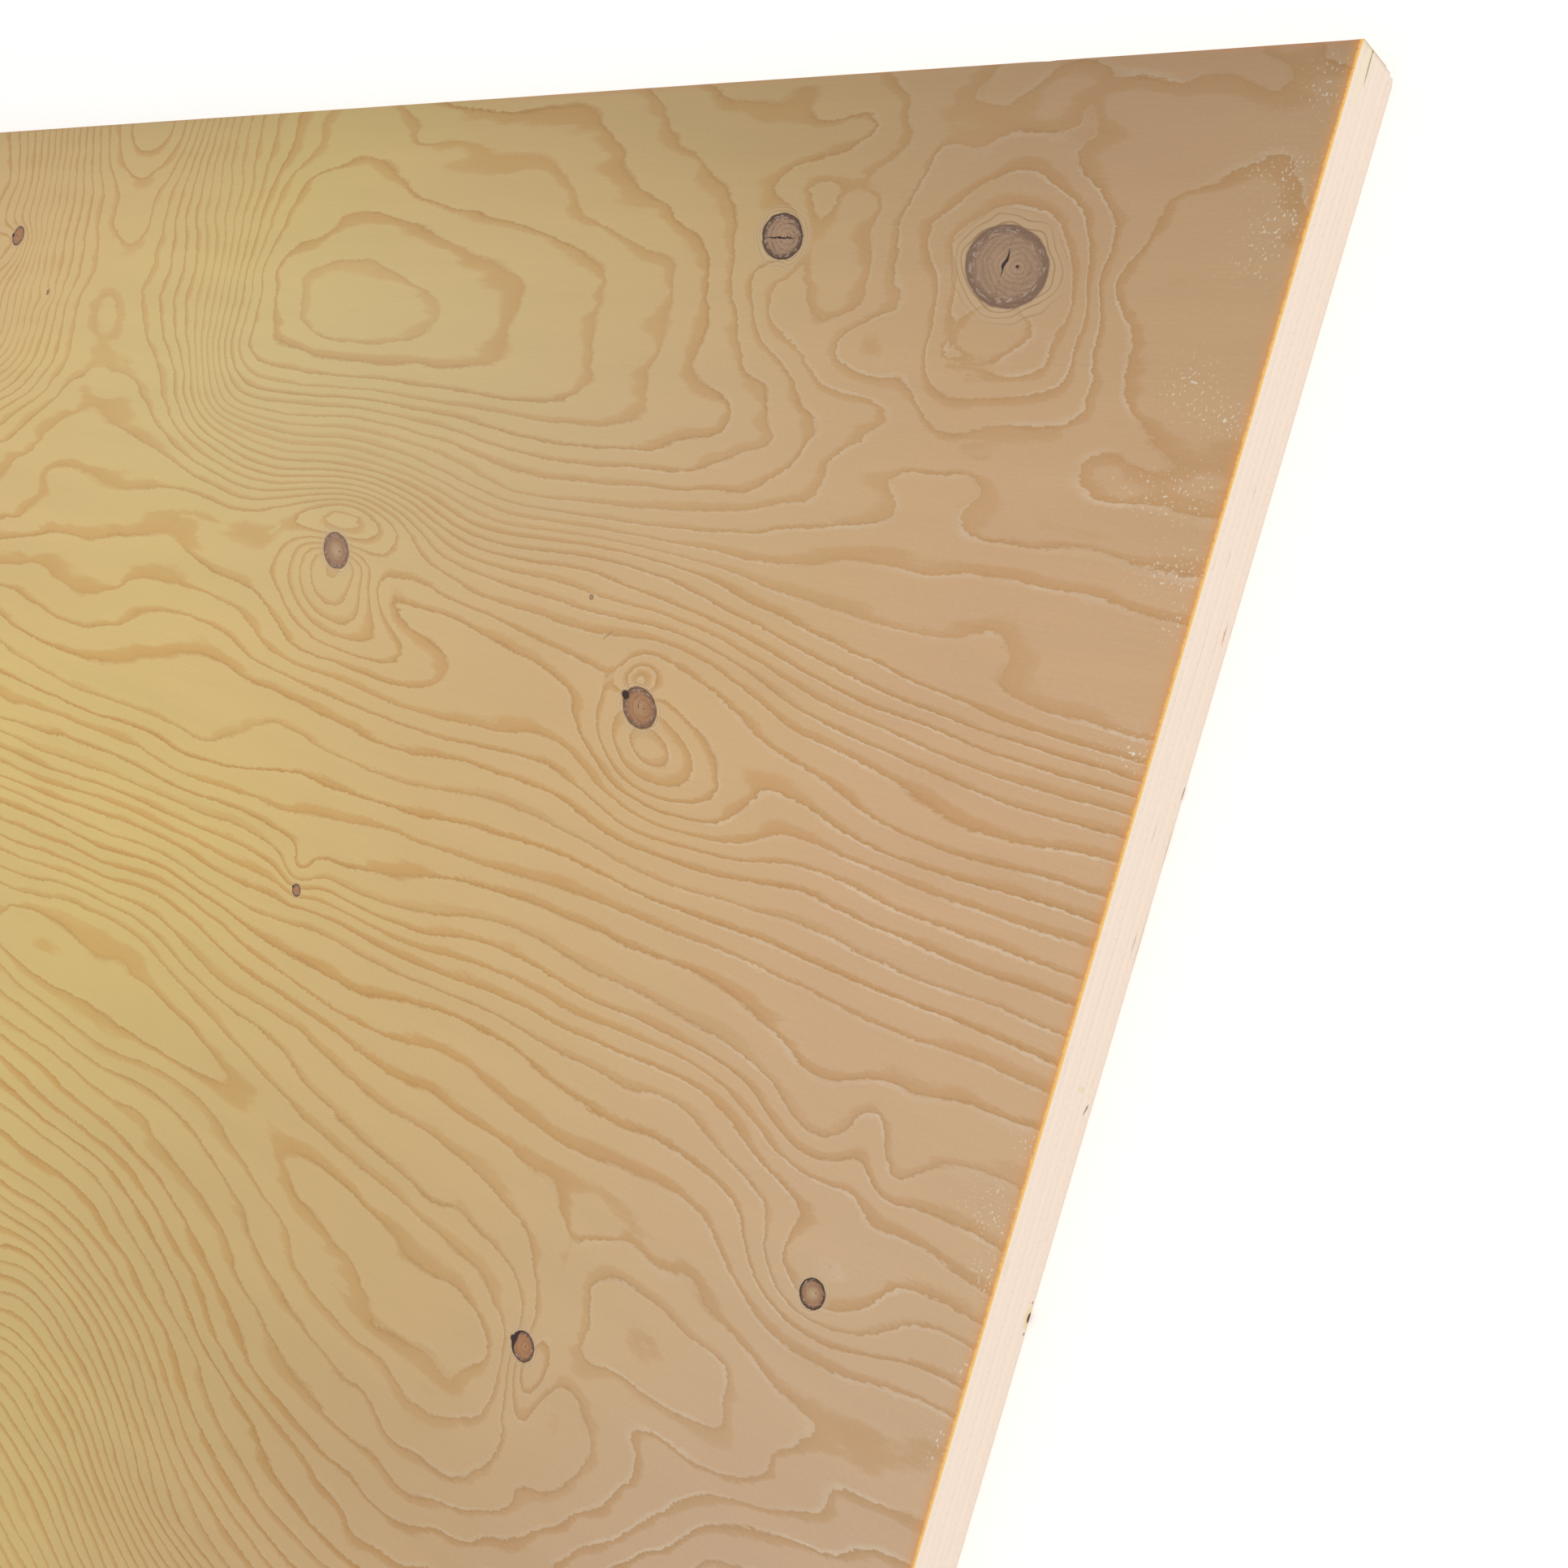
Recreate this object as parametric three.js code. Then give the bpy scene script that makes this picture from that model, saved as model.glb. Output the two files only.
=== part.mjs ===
// A sheet of spruce plywood: seven rotary-peeled veneers glued flat on each other, each with
// its grain at right angles to the next, then sawn square to size and sanded on both faces.
//
// Millimetres. The sheet lies on its back veneer. +X runs along the grain of the face, +Y
// across it and +Z up out of it, and the origin is the middle of the underside.
import * as THREE from "three";

// Driving dimensions.
const sheetLength = 2440; // along the grain of the face
const sheetWidth = 1220;
const sandedVeneer = 2.4; // the face and the back, thinner than the rest by what was sanded off
const peeledVeneer = 2.64; // each of the veneers between them, as it left the lathe and the press
const knockedBack = 1.6; // radius to which a knock has blunted the back's corner at +X, +Y
const knockedCrossband = 0.5; // and that of the veneer above it, which the knock barely reached

// The spruce as each veneer shows it. On the long edges the crossbands are cut across their
// grain and the long bands along it, so the two read as paler and darker stripes.
const spruce = (name, color, roughness) =>
  new THREE.MeshStandardMaterial({ name, color, roughness, metalness: 0 });
const sandedFace = spruce("sanded_face_spruce", "#c9a67c", 0.62);
const longBand = spruce("long_band_spruce", "#dcc3a0", 0.8);
const crossband = spruce("crossband_spruce", "#e6d2b4", 0.75);

// The lay-up in the order that it goes into the press, from the underside up: the grain of
// long veneers runs along X and that of crossbands along Y.
const layUp = [
  { name: "back_veneer", thickness: sandedVeneer, wood: sandedFace, knock: knockedBack },
  { name: "lower_crossband", thickness: peeledVeneer, wood: crossband, knock: knockedCrossband },
  { name: "lower_long_band", thickness: peeledVeneer, wood: longBand },
  { name: "centre_crossband", thickness: peeledVeneer, wood: crossband },
  { name: "upper_long_band", thickness: peeledVeneer, wood: longBand },
  { name: "upper_crossband", thickness: peeledVeneer, wood: crossband },
  { name: "face_veneer", thickness: sandedVeneer, wood: sandedFace },
];

// The sawn outline of one veneer in plan: four saw cuts at right angles, met square at every
// corner but the knocked one, where an arc of the knock's radius joins them.
function sawnOutline(knock = 0) {
  const endX = sheetLength / 2;
  const edgeY = sheetWidth / 2;
  const outline = new THREE.Shape();
  outline.moveTo(-endX, -edgeY);
  outline.lineTo(endX, -edgeY);
  outline.lineTo(endX, edgeY - knock);
  if (knock > 0) outline.absarc(endX - knock, edgeY - knock, knock, 0, Math.PI / 2, false);
  outline.lineTo(-endX, edgeY);
  outline.closePath();
  return outline;
}

// One veneer: its outline given its thickness, standing on the veneer pressed below it.
function pressVeneer({ name, thickness, wood, knock }, underside) {
  const solid = new THREE.ExtrudeGeometry(sawnOutline(knock), { depth: thickness, bevelEnabled: false });
  const veneer = new THREE.Mesh(solid, wood);
  veneer.name = name;
  veneer.position.z = underside;
  return veneer;
}

const sheet = new THREE.Group();
let pressedHeight = 0;
for (const veneer of layUp) {
  sheet.add(pressVeneer(veneer, pressedHeight));
  pressedHeight += veneer.thickness;
}

export default sheet;
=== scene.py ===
# Looks for a sheet of spruce plywood, 2440 x 1220 x 18 mm: seven veneers, sanded faces, sawn edges.
# The sheet lies on its back. Places on the face are written as (l, w): millimetres from the
# sheet's +X, +Y corner, l along the grain and w across it.
import math
import bpy
import numpy as np
from mathutils import Matrix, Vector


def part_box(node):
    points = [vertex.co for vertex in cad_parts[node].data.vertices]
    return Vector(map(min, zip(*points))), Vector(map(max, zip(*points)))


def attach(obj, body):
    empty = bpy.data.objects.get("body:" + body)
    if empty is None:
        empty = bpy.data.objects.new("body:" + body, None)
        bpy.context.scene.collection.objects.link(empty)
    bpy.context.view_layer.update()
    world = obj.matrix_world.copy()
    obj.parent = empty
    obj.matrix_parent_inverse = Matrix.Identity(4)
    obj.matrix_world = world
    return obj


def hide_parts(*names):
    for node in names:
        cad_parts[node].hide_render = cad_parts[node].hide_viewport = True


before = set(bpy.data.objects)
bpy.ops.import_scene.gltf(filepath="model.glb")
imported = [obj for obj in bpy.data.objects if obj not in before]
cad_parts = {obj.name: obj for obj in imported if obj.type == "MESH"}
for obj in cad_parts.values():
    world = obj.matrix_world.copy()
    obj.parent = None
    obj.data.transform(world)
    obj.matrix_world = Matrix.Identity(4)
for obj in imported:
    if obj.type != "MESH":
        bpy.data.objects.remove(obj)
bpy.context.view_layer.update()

mm = 0.001
faceLow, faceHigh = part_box("face_veneer")
sheet = {
    "endX": faceHigh.x,
    "edgeY": faceHigh.y,
    "length": (faceHigh.x - faceLow.x) / mm,
    "width": (faceHigh.y - faceLow.y) / mm,
}


# colours: sRGB hex to linear, ((c + 0.055) / 1.055) ^ 2.4 above the toe
def linear(hexColour):
    c = np.array([int(hexColour[i:i + 2], 16) for i in (0, 2, 4)]) / 255
    c = np.where(c > 0.04045, ((c + 0.055) / 1.055) ** 2.4, c / 12.92)
    return (*c.tolist(), 1.0)


# a step from 0 to 1 with soft ends: 1 / (1 + e^-t)
def soft(t):
    return 1 / (1 + np.exp(-np.clip(t, -40, 40)))


# a bell over an oval foot: height times e^(-half the squared distance in reaches), leaning by tilt; below is
# its reach towards -Y where that differs
def hump(l, w, at, reach, rise, tilt=0.0, below=None):
    a = l - at[0]
    c = w - at[1] - tilt * a
    across = reach[1] if below is None else np.where(c > 0, below, reach[1])
    return rise * np.exp(-0.5 * ((a / reach[0]) ** 2 + (c / across) ** 2))


# slow waves without a direction: seeded cosines whose lengths spread round the given ones, added up and
# divided by the root of half their number
def waves(l, w, lengths, amount, seed, count=26):
    draw = np.random.default_rng(seed)
    total = np.zeros(np.broadcast(l, w).shape)
    for wave in range(count):
        kl = draw.normal() / lengths[0]
        kw = draw.normal() / lengths[1]
        total += np.cos(math.pi * (kl * l + kw * w) + draw.uniform(0, 2 * math.pi))
    return amount * total / math.sqrt(count / 2)


# The figure of the face: a peeled veneer cuts each growth ring along a contour of its depth in the log
figure = {
    "turn": 588.0,  # mm of veneer peeled in one turn of a log 187 mm thick, after which the figure repeats
    "start": -40.0,  # mm, where a turn's crossings begin, just off the +Y edge
    "ease": 2.5,  # mm over which a crossing's bends are rounded
    "backStart": (2950, 150),  # mm, where the back begins in the same crossings, and runs the other way
    "firstRing": 200,  # added to the depth, so that no ring's number is negative
}

# slow waves of ring depth: lengths along and across in mm, rings, seed
figureWaves = {
    "everywhere": ((79, 23), 0.16, 5),
    "corner": ((24, 15), 0.12, 35),
    "far": ((230, 60), 0.8, 15),
    "farAndLong": ((520, 170), 1.6, 25),
}

# ring depth across the grain, from one shallow axis to the next, at some distances l along the sheet:
# pairs of w in mm and rings. Between two of them the figure blends from one to the other.
crossings = {
    535: [(-40, 18), (20, 15.6), (60, 14.6), (100, 15), (130, 16.2), (160, 17.5), (200, 19.2), (240, 22),
          (262, 25), (290, 30), (314, 34), (330, 36.4), (345, 37), (380, 32), (420, 27), (480, 20),
          (548, 18)],
    478: [(-40, 7), (20, 7.4), (60, 9.5), (90, 10.5), (110, 13), (125, 14.6), (140, 16), (160, 17.5),
          (200, 19.2), (241, 22), (262, 25), (290, 30), (314, 34.4), (330, 37), (344, 37.8), (380, 33),
          (420, 28), (480, 20), (548, 7)],
    430: [(-40, 4.4), (0, 3.8), (20, 3.1), (37, 2.2), (60, 1.6), (78, 1.7), (90, 1.7), (95.5, 2),
          (101.5, 3), (107, 4), (111, 5), (114.8, 6), (117.5, 7), (120.2, 8), (123, 9), (126, 10),
          (129, 11), (132.3, 12), (136, 13), (140.2, 14), (145, 15), (149.8, 16), (155, 17), (160.3, 18),
          (170, 18.3), (180, 18.6), (188, 19), (202.3, 20), (216, 21), (241, 22), (258, 24.2), (283, 29),
          (300, 32), (322, 36.6), (344, 38), (380, 33), (420, 28), (480, 18), (548, 4.4)],
    394: [(-40, 3.7), (0, 2.8), (20, 2), (50, 0.8), (62, 0.05), (72, -0.3), (82, -0.25), (88, 0.3),
          (95, 1), (102.3, 2), (107, 3), (111, 4), (114, 5), (118.4, 6), (121.5, 7), (124.5, 8),
          (127.8, 9), (131, 10), (134.3, 11), (137.5, 12), (141, 13), (144.7, 14), (148.7, 15), (153, 16),
          (157.1, 17), (162.3, 18), (165.5, 18.2), (168.3, 18), (173, 17.6), (180.5, 18), (192.3, 19),
          (201.8, 20), (213, 21), (242, 22), (251, 23), (258, 24), (266, 25.6), (283, 29.4), (300, 32.6),
          (322, 36.6), (344, 38), (380, 33.5), (420, 28), (480, 16), (548, 3.7)],
    350: [(-40, 5.2), (0, 4), (14, 3), (32, 2), (44, 1.1), (60, 0.1), (74, -0.5), (84, -0.3), (89, 0.1),
          (98, 1), (103, 2), (107.5, 3), (110.7, 4), (114.2, 5), (117.2, 6), (120.8, 7), (124, 8),
          (127.2, 9), (130.5, 10), (133.7, 11), (136.8, 12), (139.8, 13), (142.8, 14), (145.7, 15),
          (148.5, 16), (151.5, 17), (155.5, 18), (163, 18.3), (185, 18.4), (197, 18.6), (203.5, 19),
          (210.3, 20), (217, 21), (231, 22), (243, 23), (256.5, 24), (262, 25), (268.7, 26), (272.3, 27),
          (277.4, 28), (283.5, 29), (290.8, 30), (294.6, 31), (301, 32), (306, 33), (314, 34), (321.6, 35),
          (326.7, 36), (336, 37), (344, 37.5), (352, 37), (357, 36), (365, 35), (373, 34), (386, 33),
          (393, 32), (400, 31), (412, 29.5), (430, 27), (480, 17), (548, 5.2)],
    263: [(-40, 8), (4, 4), (38, 3), (48, 2), (66, 1.25), (80, 1.02), (94.5, 1.6), (104.2, 2), (108.3, 3),
          (115.8, 4), (120.8, 5), (124.5, 6), (131.1, 7), (134.7, 8), (137.9, 9), (142.8, 10), (145.4, 11),
          (148.8, 12), (152.4, 13), (155.8, 14), (159.5, 15), (164.2, 16), (170.5, 17), (175.4, 18),
          (181.5, 18.75), (190, 18.25), (199, 18.6), (205.8, 19), (214, 20), (220.5, 21), (228.5, 22),
          (239.5, 23), (249.7, 24), (260, 25), (269.4, 26), (273.8, 27), (277.4, 28), (283, 29),
          (287.5, 30), (297, 31), (309.5, 32), (315, 33), (322, 34), (332.5, 35), (342.8, 36), (355, 36.8),
          (362, 36.97), (370, 36.7), (378.5, 36), (388.8, 35), (405.5, 34), (417, 33), (426, 32),
          (431, 31), (443, 30), (452, 29), (460, 28), (480, 25), (520, 14), (548, 8)],
    200: [(-40, 9), (6, 6), (30, 5.1), (54, 3.6), (70, 3), (82, 2.7), (93, 2.85), (100, 2.9), (105, 3),
          (115, 4), (122, 5), (127.4, 6), (133, 7), (136.5, 8), (140.2, 9), (143, 10), (145.3, 11),
          (149, 12), (154, 13), (160.5, 14), (164.8, 15), (169.5, 16), (178.3, 17), (185, 18), (191, 18.7),
          (196, 18.9), (201, 19), (210, 20), (218.9, 21), (225.5, 22), (234, 23), (243.7, 24), (252.7, 25),
          (263.4, 26), (268.4, 27), (275, 28), (280.6, 29), (286, 30), (294, 31), (304.5, 32), (317, 33),
          (329, 34), (342.8, 35), (353, 36), (361.8, 37), (375, 37.5), (387, 37), (395, 36), (407, 35),
          (420, 34), (429, 33), (437, 32), (449, 31), (480, 26), (520, 15), (548, 9)],
    150: [(-40, 9), (0, 6.7), (8, 6.3), (18, 5.6), (23, 5.9), (30, 6.6), (38, 7.1), (50, 6.9), (62, 6.8),
          (72, 6.2), (80, 5.6), (90, 4.95), (100, 4.93), (106, 5.15), (119.7, 6), (127.7, 7), (134.7, 8),
          (140.3, 9), (144.5, 10), (148.3, 11), (152.2, 12), (158.3, 13), (162.8, 14), (167.6, 15),
          (171, 16), (176, 17), (183, 18), (190, 18.4), (202, 18.8), (212, 20), (222, 21), (228.3, 22),
          (235.5, 23), (242.5, 24), (250, 25), (262.5, 26), (269.3, 27), (275, 28), (281, 29), (286.5, 30),
          (294, 31), (309, 32), (322, 33), (334, 34), (345, 34.6), (356, 35.4), (366, 36.4), (378, 36.8),
          (388, 36.4), (396, 35.8), (408, 35), (420, 34), (430, 33), (455, 30), (520, 15), (548, 9)],
    130: [(-40, 8.8), (0, 7.1), (10, 7), (20, 6.9), (30, 7.1), (38, 7.1), (48, 6.7), (60, 6.6), (70, 6.5),
          (84, 6.1), (90, 6.3), (97, 6), (104, 6.1), (112, 6.4), (122.5, 7), (131.8, 8), (142.4, 9),
          (147, 10), (152, 11), (155.7, 12), (162, 13), (166.5, 14), (171, 15), (176, 16), (182, 17),
          (190, 17.8), (202, 18.7), (212, 19.8), (221.5, 20.9), (229.5, 22), (237, 23), (243.5, 24),
          (251, 25), (263, 26), (269.5, 27), (274.5, 28), (281, 29), (287.5, 30), (296, 31), (309.5, 32),
          (322, 33), (334, 33.5), (345, 33.7), (356, 33.8), (366, 34.6), (378, 35.7), (388, 35.3),
          (396, 34.8), (408, 34), (420, 33), (455, 29), (548, 8.8)],
    110: [(-40, 8.8), (0, 7.9), (10, 7.95), (16, 7.8), (24, 7.7), (34, 7.4), (44, 7), (60, 6.8), (84, 6.3),
          (94, 6.1), (102, 6.6), (108, 7), (114, 7.4), (120, 7.6), (126, 7.97), (133, 8.5), (138, 8.85),
          (140.6, 9), (149.4, 10), (155.3, 11), (160.4, 12), (167.5, 13), (171.5, 14), (177.5, 15),
          (183, 16), (191, 17), (200, 18.4), (211, 19.6), (221.5, 21), (229.8, 22), (237, 23), (245, 24),
          (252.5, 25), (265.5, 26), (270.6, 27), (275, 28), (281, 29), (287.5, 30), (297.5, 31),
          (309.5, 32), (322, 33), (334, 33.6), (345, 34), (356, 33.8), (364, 33.6), (378, 34.5),
          (390, 34.2), (405, 33), (430, 31), (455, 28), (548, 8.6)],
    60: [(-40, 8.8), (0, 8.2), (5, 7.95), (10, 7.6), (20, 7.3), (36, 7.1), (60, 6.9), (90, 6.3), (98, 6.4),
         (104, 6.6), (110, 7.15), (115.8, 7.7), (121, 7.95), (128, 8.25), (133, 8.65), (137.2, 9),
         (147, 9.5), (154, 9.8), (158.5, 10), (164.3, 11), (170, 12), (174, 13), (180.7, 14), (185.7, 15),
         (194.3, 16), (200.7, 17), (207, 18), (213, 19), (219.5, 20), (226, 21), (233, 22), (238.7, 23),
         (246.3, 24), (259, 25), (271, 26), (280, 27), (287, 28.1), (302, 30.6), (312, 32), (326, 33),
         (345, 33.7), (364, 33), (372, 32), (382, 31), (410, 28), (455, 22), (548, 8)],
    0: [(-40, 8.8), (0, 8.2), (8, 7.95), (16, 7.6), (28, 7.2), (34, 6.98), (60, 6.5), (85, 6.5),
        (100, 6.9), (106, 7), (112, 7.2), (120, 7.8), (124, 8), (130, 8.4), (138, 8.8), (144, 9),
        (155, 9.6), (163, 10), (169.3, 11), (174.7, 12), (177.9, 13), (182.9, 14), (187, 15), (194.3, 16),
        (201.4, 17), (207, 18), (213, 19), (219.5, 20), (226, 21), (235, 22), (241, 23), (248, 24),
        (256, 25), (268, 26), (279, 26.8), (294, 28), (301, 29), (307, 30), (316.5, 31), (324, 32),
        (331, 33), (335, 33.2), (340, 33), (348, 32), (375, 29), (410, 25), (455, 20), (548, 7.6)],
}

# further along the sheet the same crossings come again, so that its flames differ in length
for further, like in {700: 430, 900: 350, 1090: 478, 1210: 535, 1390: 430, 1560: 394, 1850: 430, 2050: 478,
                      2250: 350, 2440: 430, 2800: 350}.items():
    crossings[further] = crossings[like]

# bells of ring depth in the +X, +Y corner: place, reach along and across, rings, lean of the long axis,
# and the reach towards -Y where that differs
cornerHumps = [
    ((80, 64), (18.5, 21.5), 7.2),
    ((120, 79), (11, 8), 1.6),
    ((47, 59), (7, 6), -1.0),
    ((88, 16.5), (12, 4.5), -0.55),
    ((115, 32), (6, 12), 0.45),
    ((119, 52), (4.5, 12), 0.6),
    ((130, 22), (5, 6), 0.3),
    ((157, 33), (8, 4), 0.4),
    ((141, 16), (8, 5), -0.4),
    ((176, 7), (12, 5), -0.2),
    ((153, 49), (4, 9), 0.6),
    ((140, 54), (6, 8), -0.4),
    ((46, 55), (5, 5), 0.3),
    ((66, 36), (13, 10), -0.9),
    ((45, 90), (10, 8), 0.9),
    ((79, 92), (13, 8), -0.5),
    ((101, 69), (9, 9), -0.7),
    ((107, 47), (6, 8), 0.6),
    ((57, 74), (6, 9), 0.8),
    ((94, 74), (4, 7), 0.5),
    ((103, 72), (5, 12), -0.45),
    ((66, 78), (7, 4), 0.5),
    ((37, 50), (11, 11), -0.6),
    ((17, 42), (12, 9), -0.35),
    ((4, 72), (11, 18), 0.25),
    ((101, 347), (19, 8), 0.7, -0.2),
    ((133, 346), (7, 12), -0.6),
    ((66, 277), (11, 9), -0.8),
    ((46, 275), (6, 9), 0.8),
    ((36, 279), (5, 9), -0.7),
    ((386, 222), (14, 5), 0.5),
    ((355, 13), (12, 4), 0.5),
    ((168, 180.4), (4.5, 3.2), 2.2),
    ((78, 112), (9, 3), 0.35),
    ((52, 151), (8, 8), 0.35),
    ((322, 150), (26, 9), 2.2, 0, 5),
]

# knots there: place, radii, turn of the long axis in degrees, tone (0 grey, 1 red), how dark the rim is,
# marks (bark at one side, pale core, open ring arcs), crack (degrees, half length in radii), and the bells of
# ring depth round it
cornerKnots = [
    dict(at=(81.1, 55.0), size=(14.5, 10.3), turn=-25, tone=0.0, rim=0.25, marks=(0, 0, 0.3),
         crack=(17, 0.36), bells=[((80, 62), (10, 11), -3.0), ((79, 74), (14, 6), -2.0)]),
    dict(at=(163.4, 47.8), size=(8.9, 6.4), turn=-27, tone=0.08, rim=0.85, marks=(0, 0, 0.9),
         crack=(125, 0.75), bells=[((163, 48), (8, 8), -1.5), ((152, 72), (16, 9), 1.2, -0.6)]),
    dict(at=(334.5, 163.4), size=(9.0, 5.6), turn=-24, tone=0.35, rim=0.2, marks=(0, 0.8, 0), crack=(0, 0),
         bells=[((334, 168), (20, 5), -4.9, -0.06, 15), ((305, 188), (26, 9), -1.6, -0.2),
                ((303, 171), (13, 4.5), 0.8, -0.5)]),
    dict(at=(165.1, 188.2), size=(8.0, 5.3), turn=-23, tone=0.75, rim=0.45, marks=(0, 0.3, 0.5),
         crack=(40, 0.2),
         bells=[((160, 200), (17, 11), -3.4, -0.25, 12), ((132, 208), (22, 9), -1.6, -0.35)]),
    dict(at=(300.2, 277.8), size=(2.6, 2.0), turn=-20, tone=0.9, rim=1.0, marks=(0.2, 0, 0), crack=(0, 0),
         bells=[((302, 272), (7, 5), -1.6)]),
    dict(at=(137.9, 366.5), size=(4.8, 4.0), turn=-10, tone=0.85, rim=0.75, marks=(0.42, 0, 0.2),
         crack=(0, 0), bells=[((133, 374), (6, 9), -3.0)]),
    dict(at=(48.6, 314.2), size=(4.1, 3.8), turn=0, tone=0.5, rim=1.0, marks=(0.16, 0.8, 0), crack=(0, 0),
         bells=[((49, 310), (16, 8), -3.4, 0.0, 12)]),
    dict(at=(198.5, 160.2), size=(1.0, 0.8), turn=-20, tone=0.7, rim=0.0, marks=(0, 0.9, 0), crack=(0, 0),
         bells=[]),
]

# the rest of the stem: whorls of branches at some distances along the sheet, with a few small knots between.
# The knife meets each branch once a turn, so a knot comes again one turn across, a little smaller
stem = {
    "whorls": (640, 985, 1310, 1655, 1990, 2305),
    "branches": 4,
    "scatter": 26,  # mm, of a whorl's knots along the sheet
    "uneven": 0.28,  # how far a branch strays round the stem, as a share of the gap to the next
    "radius": (3.5, 10.5),
    "longer": (1.0, 1.35),  # a knot's long radius over its short one
    "lean": 35,  # degrees to either side of the grain
    "smallKnots": 12,
    "smallAlong": (590, 2420),
    "smallRadius": (1.2, 2.8),
    "taper": 0.94,  # a branch's size one turn further in
}


# knots of one side: the corner's own, where it has them, and the same one turn across; then seeded whorls
# and small knots, leaving out those at or near an edge
def stemKnots(seed, corner, shift):
    draw = np.random.default_rng(seed)
    branches = []
    for at in stem["whorls"]:
        start = draw.uniform(0, figure["turn"])
        for n in range(stem["branches"]):
            stray = draw.uniform(-stem["uneven"], stem["uneven"])
            across = start + (n + stray) * figure["turn"] / stem["branches"]
            branches.append((at + shift + draw.normal() * stem["scatter"], across,
                             draw.uniform(*stem["radius"]), draw.random()))
    for n in range(stem["smallKnots"]):
        branches.append((draw.uniform(*stem["smallAlong"]), draw.uniform(0, figure["turn"]),
                         draw.uniform(*stem["smallRadius"]), draw.random()))
    knots = list(corner)
    for knot in corner:
        knots.append(dict(knot, at=(knot["at"][0], knot["at"][1] + figure["turn"]),
                          size=tuple(r * stem["taper"] for r in knot["size"]), bells=[]))
    for along, across, radius, tone in branches:
        lean = draw.uniform(-stem["lean"], stem["lean"])
        longer = draw.uniform(*stem["longer"])
        marks = (max(0, draw.uniform(-0.5, 0.4)), max(0, draw.uniform(-0.6, 0.8)), draw.uniform(0, 0.8))
        crack = (draw.uniform(0, 180), max(0, draw.uniform(-0.4, 0.75)))
        for k in (0, 1, 2):
            w = across % figure["turn"] + k * figure["turn"]
            r = radius * stem["taper"] ** k
            clear = min(w, sheet["width"] - w, along, sheet["length"] - along)
            if clear < 1.5 * r + 4:
                continue
            depth = -0.75 * r ** 0.9
            bells = [((along, w + 0.5 * r), (2.4 * r + 3, 0.9 * r + 1), depth, 0.0, 1.9 * r + 2)]
            knots.append(dict(at=(along, w), size=(r * longer, r), turn=lean, tone=tone, bells=bells,
                              rim=min(1, 3.4 / r), marks=marks, crack=crack))
    return knots


# the grain's own width coordinate: it flows round a knot, as w less c s^2 / (r^2 + s^2) e^(-r / 4s) for a
# point c across and r away from a knot of size s, and is straight again past 16 s
def grainRound(l, w, knots):
    flow = w.copy()
    for knot in knots:
        s = knot["size"][0]
        near = np.flatnonzero((np.abs(l - knot["at"][0]) < 16 * s) & (np.abs(w - knot["at"][1]) < 16 * s))
        a, c = l[near] - knot["at"][0], w[near] - knot["at"][1]
        r = np.hypot(a, c)
        flow[near] -= c * s * s / (r * r + s * s) * np.exp(-r / (4 * s))
    return flow


# w within one turn of the log
def withinTurn(w):
    return np.mod(w - figure["start"], figure["turn"]) + figure["start"]


# ring depth without knots: a smooth cubic along the sheet through the crossings, each crossing's slope
# being that between its neighbours
def crossingDepth(l, w):
    at = np.array(sorted(crossings), float)
    depth = 0
    for shift in (-figure["ease"], 0, figure["ease"]):
        turned = withinTurn(w + shift)
        depth = depth + np.stack([np.interp(turned, *zip(*crossings[k])) for k in sorted(crossings)]) / 3
    slope = np.gradient(depth, at, axis=0)
    first = np.clip(np.searchsorted(at, l, "right") - 1, 0, len(at) - 2)
    gap = at[first + 1] - at[first]
    t = np.clip((l - at[first]) / gap, 0, 1)
    pick = np.arange(len(l))
    d = depth[first, pick] * (1 + 2 * t) * (1 - t) ** 2 + depth[first + 1, pick] * t * t * (3 - 2 * t)
    return d + gap * (slope[first, pick] * t * (1 - t) ** 2 - slope[first + 1, pick] * t * t * (1 - t))


# ring depth with everything: the crossings' along the grain that flows round knots, bells, and slow waves
# that grow past the corner and differ from turn to turn. The back runs the other way, from another stem
def ringDepth(l, w, knots, onFace=True):
    grainW = grainRound(l, w, knots)
    if onFace:
        d = crossingDepth(l, grainW)
        turned = withinTurn(w)
        for h in cornerHumps:
            d += hump(l, turned, *h)
        for knot in cornerKnots:
            for bell in knot["bells"]:
                d += hump(l, turned, *bell)
        unsettled = soft((210 - l) / 15) * (soft((w - 325) / 10) + soft((128 - w) / 8))
        d += unsettled * waves(l, turned, *figureWaves["corner"])
        far, nextTurn = soft((l - 600) / 35), soft((w - 545) / 25)
    else:
        d = crossingDepth(figure["backStart"][0] - l, grainW + figure["backStart"][1])
        far, nextTurn = 1.0, 0.0
    for knot in knots[len(cornerKnots) if onFace else 0:]:
        s = knot["size"][0]
        near = (np.abs(l - knot["at"][0]) < 14 * s + 14) & (np.abs(w - knot["at"][1]) < 12 * s + 14)
        near = np.flatnonzero(near)
        for bell in knot["bells"]:
            d[near] += hump(l[near], w[near], *bell)
    d += waves(l, w, *figureWaves["everywhere"])
    d += np.maximum(far, nextTurn) * waves(l, w, *figureWaves["far"])
    return d + far * waves(l, w, *figureWaves["farAndLong"]) + 1.4 * nextTurn


# points along a side in mm: fine over a dense stretch, then growing over twelve steps, then coarse
def graded(total, dense, fine, coarse):
    near = np.linspace(0, dense, round(dense / fine) + 1)
    blend = np.cumsum(np.linspace(fine, coarse, 12))
    far = np.linspace(dense + blend[-1], total, round((total - dense - blend[-1]) / coarse) + 1)
    return np.concatenate([near, dense + blend[:-1], far])


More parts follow.
